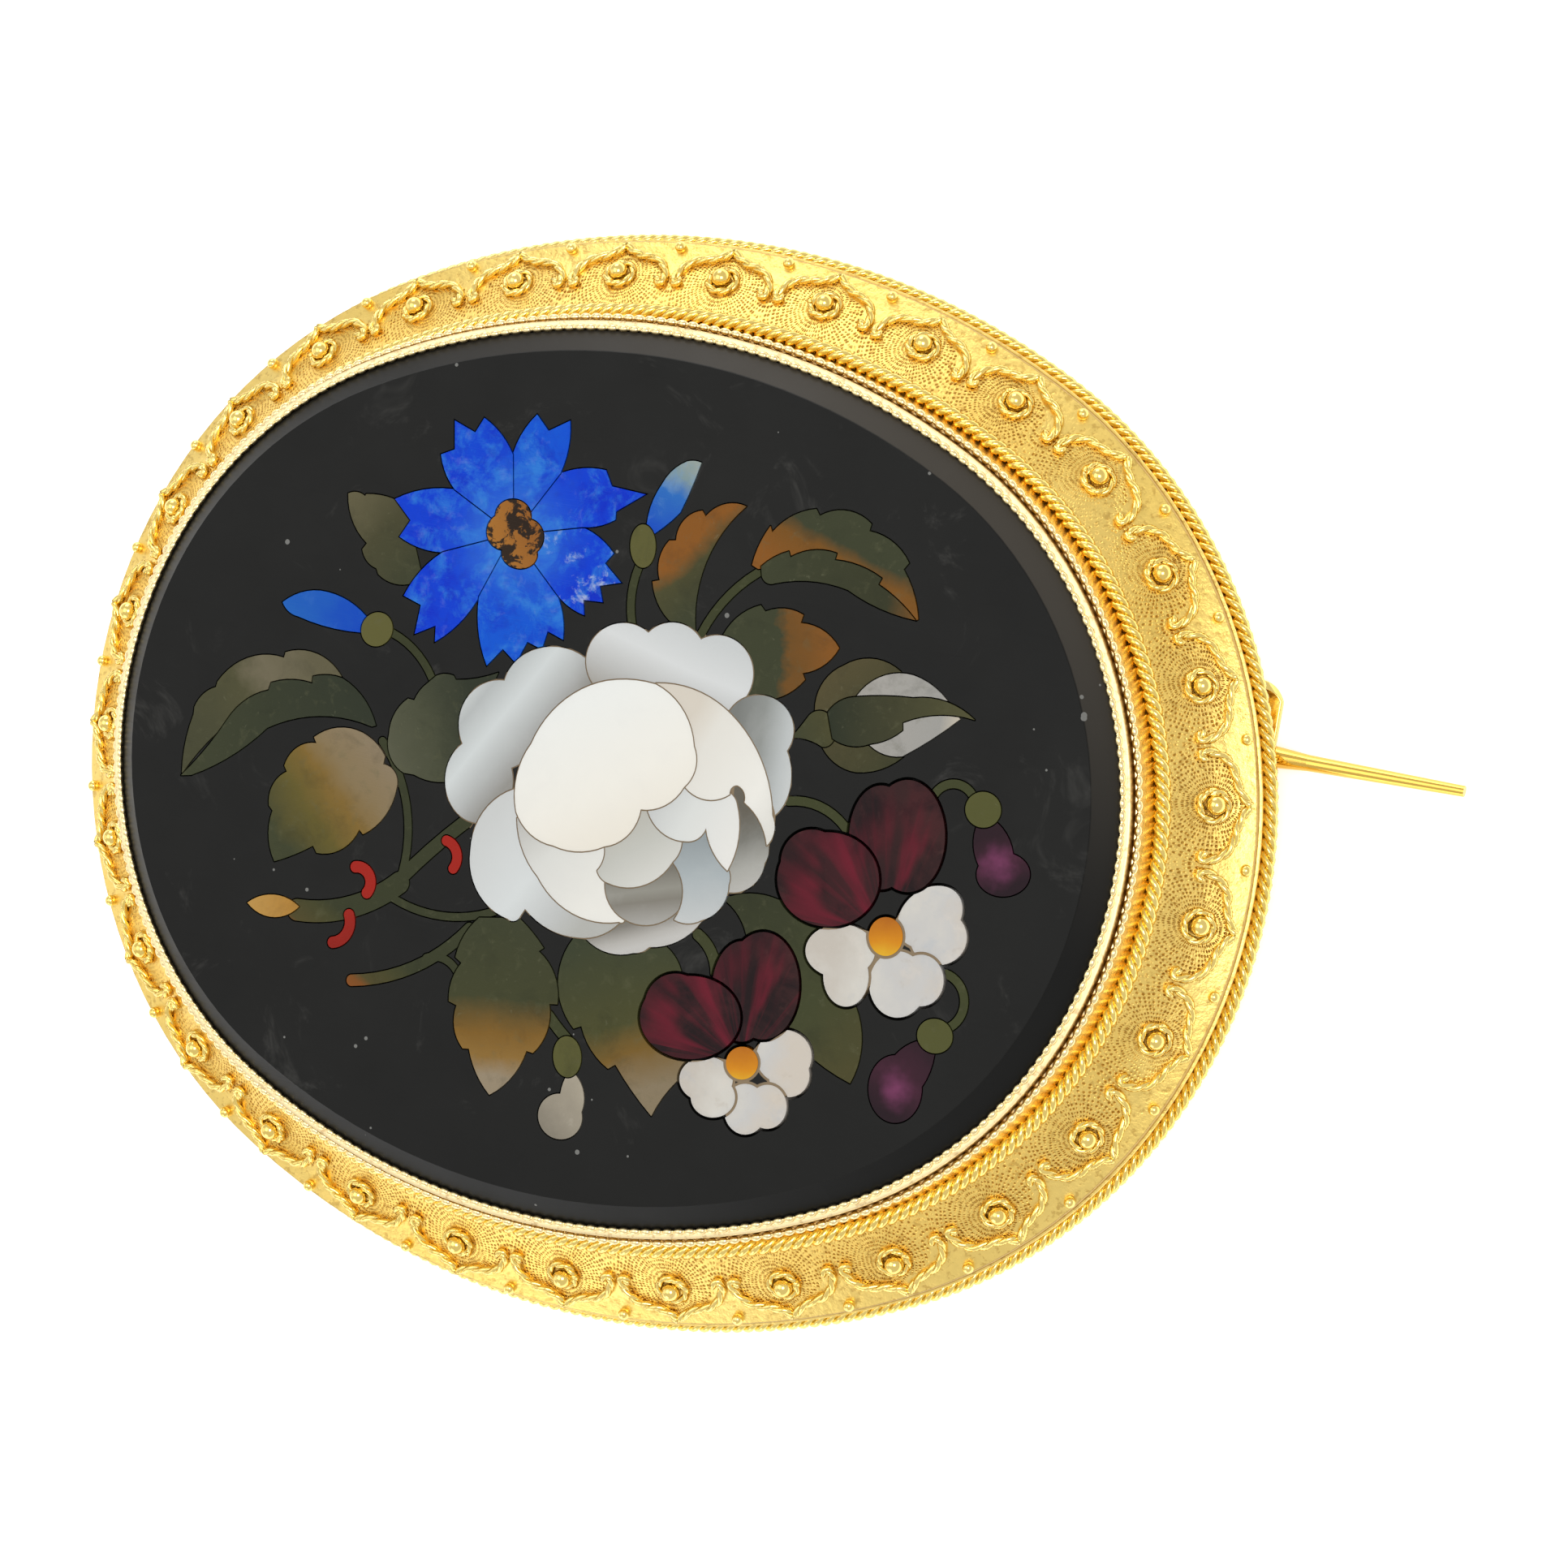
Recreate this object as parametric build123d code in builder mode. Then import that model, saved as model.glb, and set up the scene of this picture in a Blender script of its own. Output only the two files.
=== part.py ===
from build123d import *
from math import atan, atan2, cos, degrees, pi, radians, sin
import os

# Oval gold brooch: a black stone plaque inlaid with flowers of coloured stone, held by a beaded
# collet in a broad sloping border with rope edges, rosettes and arches of wire.
# Millimetres. The origin is the middle of the oval on the back face, +Z is the front,
# +Y the top of the flowers and +X the end where the pin's point comes out.

os.makedirs("parts", exist_ok=True)

# The opening for the stone is an oval of four tangent arcs, two round ends and two flatter sides.
opening_length = 42.0
opening_width = 33.8
end_fullness = 0.923          # radius of the round ends, in half widths

# Metal behind and round the stone.
plate_thickness = 0.6
stone_clearance = 0.05
bed_clearance = 0.05
collet_wall = 0.40
collet_height = 5.72
collet_ledge_height = 5.12
collet_ledge_width = 0.16
cove_depth = 0.12
upper_wire = 0.30             # diameters of the two beaded wires on the collet
lower_wire = 0.28

# Border: its width is measured from the opening to the outside of the outer rope.
border_width = 4.4
border_height = 3.55
inner_rope = 0.56
outer_rope = 0.60
outer_rope_height = 0.45
rope_sink = 0.10

# Ornament laid on the border.
rosette_count = 30
rosette_across = 0.57         # place across the border, in border widths
rosette_turn = 0.0183         # first rosette, as a share of the way round from +X
spacing_drift = 0.006         # hand spacing: how far the rosettes crowd to one side
drift_direction = 33.0
ball_diameter = 0.66
coil_diameter = 1.20
coil_wire = 0.26
granule_diameter = 0.42
granule_across = 0.85
solder_sink = 0.08            # how deep the balls and grains sit in the metal
arch_wire = 0.24
arch_rise = 0.13

# Stone plaque.
table_height = 6.45
bevel_width = 0.87
bevel_rise = 0.76

# Inlay let into the plaque, flush with its table.
inlay_depth = 1.2
pocket_floor = 0.05
seam = 0.05
wide_seam = 0.11
smallest_chip = 0.07          # area in square mm below which a leftover chip isn't laid

# Pin, hinge and catch on the back. The pin lies along X above the middle of the flowers.
pin_row = 5.2
pin_depth = 0.60              # height of the pin's axis behind the back face
pin_diameter = 0.84
point_diameter = 0.42
taper_diameter = 0.62
taper_length = 1.3
hinge_place = -22.5
point_place = 31.6
rivet_diameter = 0.40
rivet_clearance = 0.05
knuckle_diameter = 1.00
lug_diameter = 1.40
knuckle_length = 1.6
knuckle_gap = 0.08
catch_place = 23.15
catch_length = 2.3
catch_strip = 0.33
catch_clearance = 0.09
catch_reach = 2.6             # from the pin's axis to the catch's root
catch_lip = 1.15              # from the pin's axis to the free lip
catch_seat = 0.05             # how deep the soldered feet run into the back plate

half_length = opening_length / 2
half_width = opening_width / 2
end_radius = end_fullness * half_width
end_centre = half_length - end_radius
side_radius = (end_centre**2 + half_width**2 - end_radius**2) / (2 * (half_width - end_radius))
side_centre = side_radius - half_width
joint_angle = degrees(atan2(side_centre, end_centre))

# Arcs of the oval, counter-clockwise: centre x, centre y, radius, first angle, swept angle.
oval_arcs = [
    (end_centre, 0, end_radius, -joint_angle, 2 * joint_angle),
    (0, -side_centre, side_radius, joint_angle, 180 - 2 * joint_angle),
    (-end_centre, 0, end_radius, 180 - joint_angle, 2 * joint_angle),
    (0, side_centre, side_radius, 180 + joint_angle, 180 - 2 * joint_angle),
]

wall_offset = border_width - outer_rope + rope_sink
outer_rope_offset = border_width - outer_rope / 2
collet_edge = stone_clearance + collet_wall
inner_rope_offset = collet_edge + collet_ledge_width + cove_depth + inner_rope / 2 - rope_sink
inner_rope_height = border_height + rope_sink

# Slope of the border from the inner rope outward: share of the width, share of the height.
border_slope = [
    (0.260, 1.000),
    (0.410, 0.840),
    (0.570, 0.690),
    (0.730, 0.575),
    (0.893, 0.479),
]
# Step that ends the slope and the undercut above the outer rope, in the same shares.
border_step = [
    (0.902, 0.408),
    (0.920, 0.400),
    (0.920, 0.366),
]


def oval(offset=0.0):
    """Face of the oval, its outline moved outward by offset."""
    with BuildSketch(mode=Mode.PRIVATE) as face:
        with BuildLine():
            for x, y, radius, start, swept in oval_arcs:
                CenterArc((x, y), radius + offset, start, swept)
        make_face()
    return face.sketch


def place_on_oval(share, offset):
    """Point beside the oval and its outward angle, a share of the way round from +X."""
    track = rosette_across * border_width
    lengths = [radians(swept) * (radius + track) for _, _, radius, _, swept in oval_arcs]
    along = (share * sum(lengths) + lengths[0] / 2) % sum(lengths)
    for (x, y, radius, start, swept), length in zip(oval_arcs, lengths):
        if along <= length:
            break
        along -= length
    angle = start + swept * along / length
    reach = radius + offset
    return x + reach * cos(radians(angle)), y + reach * sin(radians(angle)), angle


def ornament_share(step):
    """Share of the way round of a rosette; a half step is the place between two of them."""
    turn = rosette_turn + step / rosette_count
    return turn + spacing_drift * cos(2 * pi * turn + radians(drift_direction))


def slope_at(offset):
    """Height and fall angle of the border's slope at an offset from the opening."""
    rows = [(across * border_width, share * border_height) for across, share in border_slope]
    for (near, high), (far, low) in zip(rows, rows[1:]):
        if offset <= far:
            break
    fall = (high - low) / (far - near)
    return high - fall * (offset - near), degrees(atan(fall))


def ring(section):
    """Add the section to the part, carried round the four arcs of the oval."""
    for x, y, radius, start, swept in oval_arcs:
        outward = (cos(radians(start)), sin(radians(start)), 0)
        across = (sin(radians(start)), -cos(radians(start)), 0)
        with BuildSketch(Plane(origin=(x, y, 0), x_dir=outward, z_dir=across)) as placed:
            with Locations((radius, 0)):
                add(section)
        revolve(placed.sketch, axis=Axis((x, y, 0), (0, 0, 1)), revolution_arc=swept)


# Section of the metal ring: collet, ledge, cove, slope, step and wall, with the four round
# wires as plain discs. Across is the offset from the opening, up is the height.
with BuildSketch(mode=Mode.PRIVATE) as ring_section:
    slope = [(across * border_width, up * border_height) for across, up in border_slope]
    step = [(across * border_width, up * border_height) for across, up in border_step]
    ledge_edge = collet_edge + collet_ledge_width
    with BuildLine():
        Polyline(
            slope + step + [
                (wall_offset, step[-1][1] - (step[-1][0] - wall_offset)),
                (wall_offset, 0),
                (stone_clearance, 0),
                (stone_clearance, collet_height),
                (collet_edge - collet_wall / 4, collet_height),
                (collet_edge, collet_ledge_height),
                (ledge_edge, collet_ledge_height),
            ]
        )
        ThreePointArc(
            (ledge_edge, collet_ledge_height),
            (ledge_edge + cove_depth / 3, (collet_ledge_height + inner_rope_height) / 2),
            (ledge_edge + cove_depth, inner_rope_height),
        )
        Polyline([(ledge_edge + cove_depth, inner_rope_height), (slope[0][0], inner_rope_height), slope[0]])
    make_face()
    with Locations((stone_clearance + upper_wire / 2, collet_height + upper_wire / 4)):
        Circle(upper_wire / 2)
    with Locations((collet_edge + lower_wire / 3, collet_ledge_height + lower_wire / 8)):
        Circle(lower_wire / 2)
    with Locations((inner_rope_offset, inner_rope_height + rope_sink / 2)):
        Circle(inner_rope / 2)
    with Locations((outer_rope_offset, outer_rope_height)):
        Circle(outer_rope / 2)

# The slope again, raised by the height of the wire arches.
with BuildSketch(mode=Mode.PRIVATE) as raised_section:
    with BuildLine():
        Polyline([(across, up + arch_rise) for across, up in slope])
        Line((slope[-1][0], slope[-1][1] + arch_rise), (slope[-1][0], slope[-1][1] - arch_wire))
        Polyline([(across, up - arch_wire) for across, up in reversed(slope)])
        Line((slope[0][0], slope[0][1] - arch_wire), (slope[0][0], slope[0][1] + arch_rise))
    make_face()

# Half of one arch, from its cusp to its point: share of the rosettes' pitch from the point,
# share of the border's width.
arch_path = [
    (-0.455, 0.485),
    (-0.400, 0.640),
    (-0.300, 0.735),
    (-0.140, 0.780),
    (0.000, 0.850),
]


def arch_point(step, across, shift):
    x, y, _ = place_on_oval(ornament_share(step), across * border_width + shift)
    return x, y


def arch(step):
    """Plan of the pointed arch over one rosette."""
    cusp, haunch, shoulder, neck, point = arch_path
    wire = arch_wire / 2
    with BuildSketch(mode=Mode.PRIVATE) as face:
        with BuildLine():
            for side in (-1, 1):
                for shift in (-wire, wire):
                    for low, middle, high in ((cusp, haunch, shoulder), (shoulder, neck, point)):
                        ends = [arch_point(step - side * turn, across, shift) for turn, across in (low, middle, high)]
                        ThreePointArc(*ends)
                Line(
                    arch_point(step - side * cusp[0], cusp[1], -wire),
                    arch_point(step - side * cusp[0], cusp[1], wire),
                )
        make_face()
    return face.sketch


with BuildPart(mode=Mode.PRIVATE) as arches:
    ring(raised_section.sketch)
    with BuildSketch():
        for step_number in range(rosette_count):
            add(arch(step_number))
    extrude(amount=table_height, mode=Mode.INTERSECT)

# Seats of the rosettes, square to the slope, and of the single granules between them.
rosette_offset = rosette_across * border_width
rosette_seat, rosette_fall = slope_at(rosette_offset)
granule_offset = granule_across * border_width
granule_seat, _ = slope_at(granule_offset)
coil_places = []
ball_places = []
granule_places = []
for step_number in range(rosette_count):
    x, y, angle = place_on_oval(ornament_share(step_number), rosette_offset)
    lean = sin(radians(rosette_fall))
    rise = (lean * cos(radians(angle)), lean * sin(radians(angle)), cos(radians(rosette_fall)))
    seat = Plane(origin=(x, y, rosette_seat), z_dir=rise)
    coil_places.append(seat.offset(coil_wire / 4))
    ball_places.append(seat.offset(ball_diameter / 2 - solder_sink))
    x, y, _ = place_on_oval(ornament_share(step_number + 0.5), granule_offset)
    granule_places.append((x, y, granule_seat + granule_diameter / 2 - solder_sink))

# Gold frame: everything soldered together.
with BuildPart() as gold_frame:
    ring(ring_section.sketch)
    with BuildSketch(Plane.XY):
        add(oval(wall_offset - outer_rope / 2))
    extrude(amount=plate_thickness)
    add(arches.part)

    with Locations(*coil_places):
        Torus((coil_diameter - coil_wire) / 2, coil_wire / 2)
    with Locations(*ball_places):
        Sphere(ball_diameter / 2)
    with Locations(*granule_places):
        Sphere(granule_diameter / 2)

    # Outer knuckles of the hinge, on lugs soldered to the back, with the rivet between them.
    lug_middle = knuckle_length / 2 + knuckle_gap + knuckle_length / 2
    for side in (-1, 1):
        with Locations((hinge_place, pin_row + side * lug_middle, -pin_depth)):
            Cylinder(lug_diameter / 2, knuckle_length, rotation=(90, 0, 0))
        with Locations((hinge_place, pin_row + side * lug_middle, catch_seat)):
            Box(
                lug_diameter, knuckle_length, pin_depth + catch_seat,
                align=(Align.CENTER, Align.CENTER, Align.MAX),
            )
    with Locations((hinge_place, pin_row, -pin_depth)):
        Cylinder(rivet_diameter / 2, knuckle_length + 4 * knuckle_gap, rotation=(90, 0, 0))

    # Catch: a bent strip that comes down beside the pin and hooks behind it.
    hook_inner = pin_depth + pin_diameter / 2 + catch_clearance
    hook_outer = hook_inner + catch_strip
    bend = hook_inner / 2
    with BuildSketch(Plane.YZ.offset(catch_place - catch_length / 2)):
        with BuildLine():
            hook_line = FilletPolyline(
                (pin_row + catch_reach, catch_seat),
                (pin_row + catch_reach, -hook_inner - catch_strip / 2),
                (pin_row - catch_lip, -hook_inner - catch_strip / 2),
                (pin_row - catch_lip, -pin_depth),
                radius=bend,
            )
        trace(hook_line.edges(), catch_strip)
    extrude(amount=catch_length)

gold_frame.part.label = "gold_frame"
export_step(gold_frame.part, "parts/gold_frame.step")

# Pin: a stem on its own knuckle, which turns on the rivet between the two lugs.
with BuildPart() as pin:
    with Locations((hinge_place, pin_row, -pin_depth)):
        Cylinder(knuckle_diameter / 2, knuckle_length, rotation=(90, 0, 0))
    stem_line = Plane(origin=(hinge_place, pin_row, -pin_depth), x_dir=(1, 0, 0), z_dir=(0, 1, 0))
    catch_end = catch_place + catch_length / 2 - hinge_place
    with BuildSketch(stem_line):
        with BuildLine():
            Polyline(
                (0, 0),
                (0, pin_diameter / 2),
                (catch_end, pin_diameter / 2),
                (catch_end + taper_length, taper_diameter / 2),
                (point_place - hinge_place, point_diameter / 2),
                (point_place - hinge_place, 0),
                close=True,
            )
        make_face()
    revolve(axis=Axis((hinge_place, pin_row, -pin_depth), (1, 0, 0)))
    with Locations((hinge_place, pin_row, -pin_depth)):
        Cylinder(
            rivet_diameter / 2 + rivet_clearance, 2 * knuckle_length,
            rotation=(90, 0, 0), mode=Mode.SUBTRACT,
        )
pin.part.label = "pin"
export_step(pin.part, "parts/pin.step")

# The inlay tables below are read off the flowers by eye. Places are shares of the opening's half
# length and half width, radii and widths are shares of the half length, angles are in degrees.

# Rounded pieces: node, group in the node, x, y, long radius, short radius, angle.
# Ovals of one group run together into one lobed piece.
rounds = [
    ("rose_petal_11", 1, 0.314, 0.172, 0.067, 0.062, 5),
    ("rose_petal_11", 1, 0.332, 0.076, 0.081, 0.059, -79),
    ("rose_petal_12", 1, 0.030, 0.267, 0.074, 0.069, 2),
    ("rose_petal_12", 1, 0.124, 0.292, 0.067, 0.065, -11),
    ("rose_petal_12", 1, 0.216, 0.278, 0.070, 0.068, -11),
    ("rose_petal_13", 1, -0.216, -0.058, 0.077, 0.069, -76),
    ("rose_petal_13", 1, -0.194, 0.075, 0.083, 0.081, -14),
    ("rose_petal_13", 1, -0.101, 0.175, 0.098, 0.078, 8),
    ("pansy_right_eye", 1, 0.619, -0.218, 0.034, 0.032, -81),
    ("pansy_right_dark_petals", 1, 0.493, -0.121, 0.097, 0.083, 10),
    ("pansy_right_dark_petals", 1, 0.457, -0.090, 0.059, 0.057, 8),
    ("pansy_right_dark_petals", 2, 0.627, 0.006, 0.098, 0.070, -79),
    ("pansy_right_dark_petals", 2, 0.579, -0.008, 0.091, 0.061, -79),
    ("pansy_right_pale_petals", 1, 0.539, -0.269, 0.066, 0.047, 11),
    ("pansy_right_pale_petals", 1, 0.558, -0.321, 0.053, 0.043, -80),
    ("pansy_right_pale_petals", 2, 0.656, -0.315, 0.058, 0.053, -82),
    ("pansy_right_pale_petals", 2, 0.698, -0.296, 0.045, 0.042, -83),
    ("pansy_right_pale_petals", 3, 0.694, -0.157, 0.065, 0.049, 44),
    ("pansy_right_pale_petals", 3, 0.716, -0.197, 0.053, 0.048, 12),
    ("pansy_low_eye", 1, 0.391, -0.556, 0.031, 0.029, 22),
    ("pansy_low_dark_petals", 1, 0.277, -0.482, 0.098, 0.074, 12),
    ("pansy_low_dark_petals", 1, 0.245, -0.464, 0.060, 0.058, 17),
    ("pansy_low_dark_petals", 2, 0.405, -0.379, 0.095, 0.070, -80),
    ("pansy_low_dark_petals", 2, 0.367, -0.401, 0.089, 0.058, -80),
    ("pansy_low_pale_petals", 1, 0.328, -0.608, 0.052, 0.040, 13),
    ("pansy_low_pale_petals", 1, 0.347, -0.644, 0.043, 0.036, 14),
    ("pansy_low_pale_petals", 2, 0.412, -0.654, 0.045, 0.041, -85),
    ("pansy_low_pale_petals", 2, 0.453, -0.638, 0.039, 0.037, 86),
    ("pansy_low_pale_petals", 3, 0.468, -0.522, 0.053, 0.047, 15),
    ("pansy_low_pale_petals", 3, 0.484, -0.560, 0.039, 0.038, 45),
    ("cornflower_centre", 1, -0.250, 0.507, 0.035, 0.033, 0),
    ("cornflower_centre", 1, -0.204, 0.503, 0.035, 0.033, 0),
    ("cornflower_centre", 1, -0.237, 0.545, 0.036, 0.030, 0),
    ("cornflower_centre", 1, -0.212, 0.464, 0.036, 0.027, 0),
    ("bud_calyxes", 1, -0.475, 0.237, 0.033, 0.031, 35),
    ("bud_calyxes", 2, 0.030, 0.528, 0.039, 0.025, -78),
    ("bud_calyxes", 3, 0.757, 0.093, 0.033, 0.031, 0),
    ("bud_calyxes", 4, 0.741, -0.408, 0.033, 0.030, 0),
    ("bud_calyxes", 5, 0.052, -0.627, 0.037, 0.028, -76),
    ("drop_bud", 1, 0.058, -0.762, 0.044, 0.041, 0),
    ("purple_bud_right", 1, 0.814, -0.036, 0.049, 0.038, 11),
    ("purple_bud_left", 1, 0.685, -0.539, 0.059, 0.050, -82),
]

# Pieces drawn lobe by lobe: node, group, base x, base y, tip x, tip y.
leaves = [
    ("rose_petal_01", 1, -0.131, -0.110, 0.195, 0.110),
    ("rose_petal_02", 1, 0.128, -0.052, 0.300, -0.146),
    ("rose_petal_03", 1, 0.049, -0.204, 0.203, -0.101),
    ("rose_petal_04", 1, 0.201, -0.090, 0.267, -0.265),
    ("rose_petal_05", 1, 0.101, 0.232, 0.367, -0.074),
    ("rose_petal_06", 1, 0.285, 0.056, 0.307, -0.192),
    ("rose_petal_07", 1, 0.068, -0.222, 0.206, -0.272),
    ("rose_petal_08", 1, -0.127, -0.124, 0.109, -0.306),
    ("rose_petal_09", 1, -0.139, -0.059, 0.113, -0.302),
    ("rose_petal_10", 1, 0.046, -0.356, 0.267, -0.269),
    ("rosebud_leaf", 1, 0.443, 0.212, 0.713, 0.280),
    ("rosebud_petals", 1, 0.488, 0.227, 0.688, 0.287),
    ("rosebud_sepals", 1, 0.414, 0.236, 0.562, 0.354),
    ("rosebud_sepals", 2, 0.439, 0.162, 0.594, 0.174),
    ("rosebud_calyx", 1, 0.450, 0.206, 0.378, 0.169),
    ("leaf_left_inner", 1, -0.444, 0.020, -0.834, -0.181),
    ("leaf_left_outer", 1, -0.529, 0.112, -0.833, -0.177),
    ("leaf_beige", 1, -0.415, -0.045, -0.607, -0.333),
    ("leaf_round_left", 1, -0.256, 0.040, -0.414, 0.006),
    ("leaf_behind_cornflower", 1, -0.365, 0.419, -0.581, 0.532),
    ("leaf_top", 1, 0.165, 0.350, 0.217, 0.653),
    ("leaf_upper_inner", 1, 0.267, 0.516, 0.572, 0.470),
    ("leaf_upper_outer", 1, 0.250, 0.523, 0.577, 0.473),
    ("leaf_round_right", 1, 0.244, 0.320, 0.439, 0.381),
    ("leaf_low_left", 1, -0.134, -0.352, -0.089, -0.750),
    ("leaf_low_middle", 1, 0.087, -0.356, 0.235, -0.715),
    ("leaf_low_right", 1, 0.308, -0.206, 0.600, -0.548),
    ("blue_bud_left", 1, -0.486, 0.228, -0.680, 0.259),
    ("blue_bud_top", 1, 0.035, 0.549, 0.116, 0.732),
    ("drop_bud", 1, 0.078, -0.783, 0.063, -0.655),
    ("purple_bud_right", 1, 0.821, -0.065, 0.758, 0.084),
    ("purple_bud_left", 1, 0.677, -0.595, 0.743, -0.415),
    ("branch_tip", 1, -0.540, -0.424, -0.649, -0.440),
]

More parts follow.
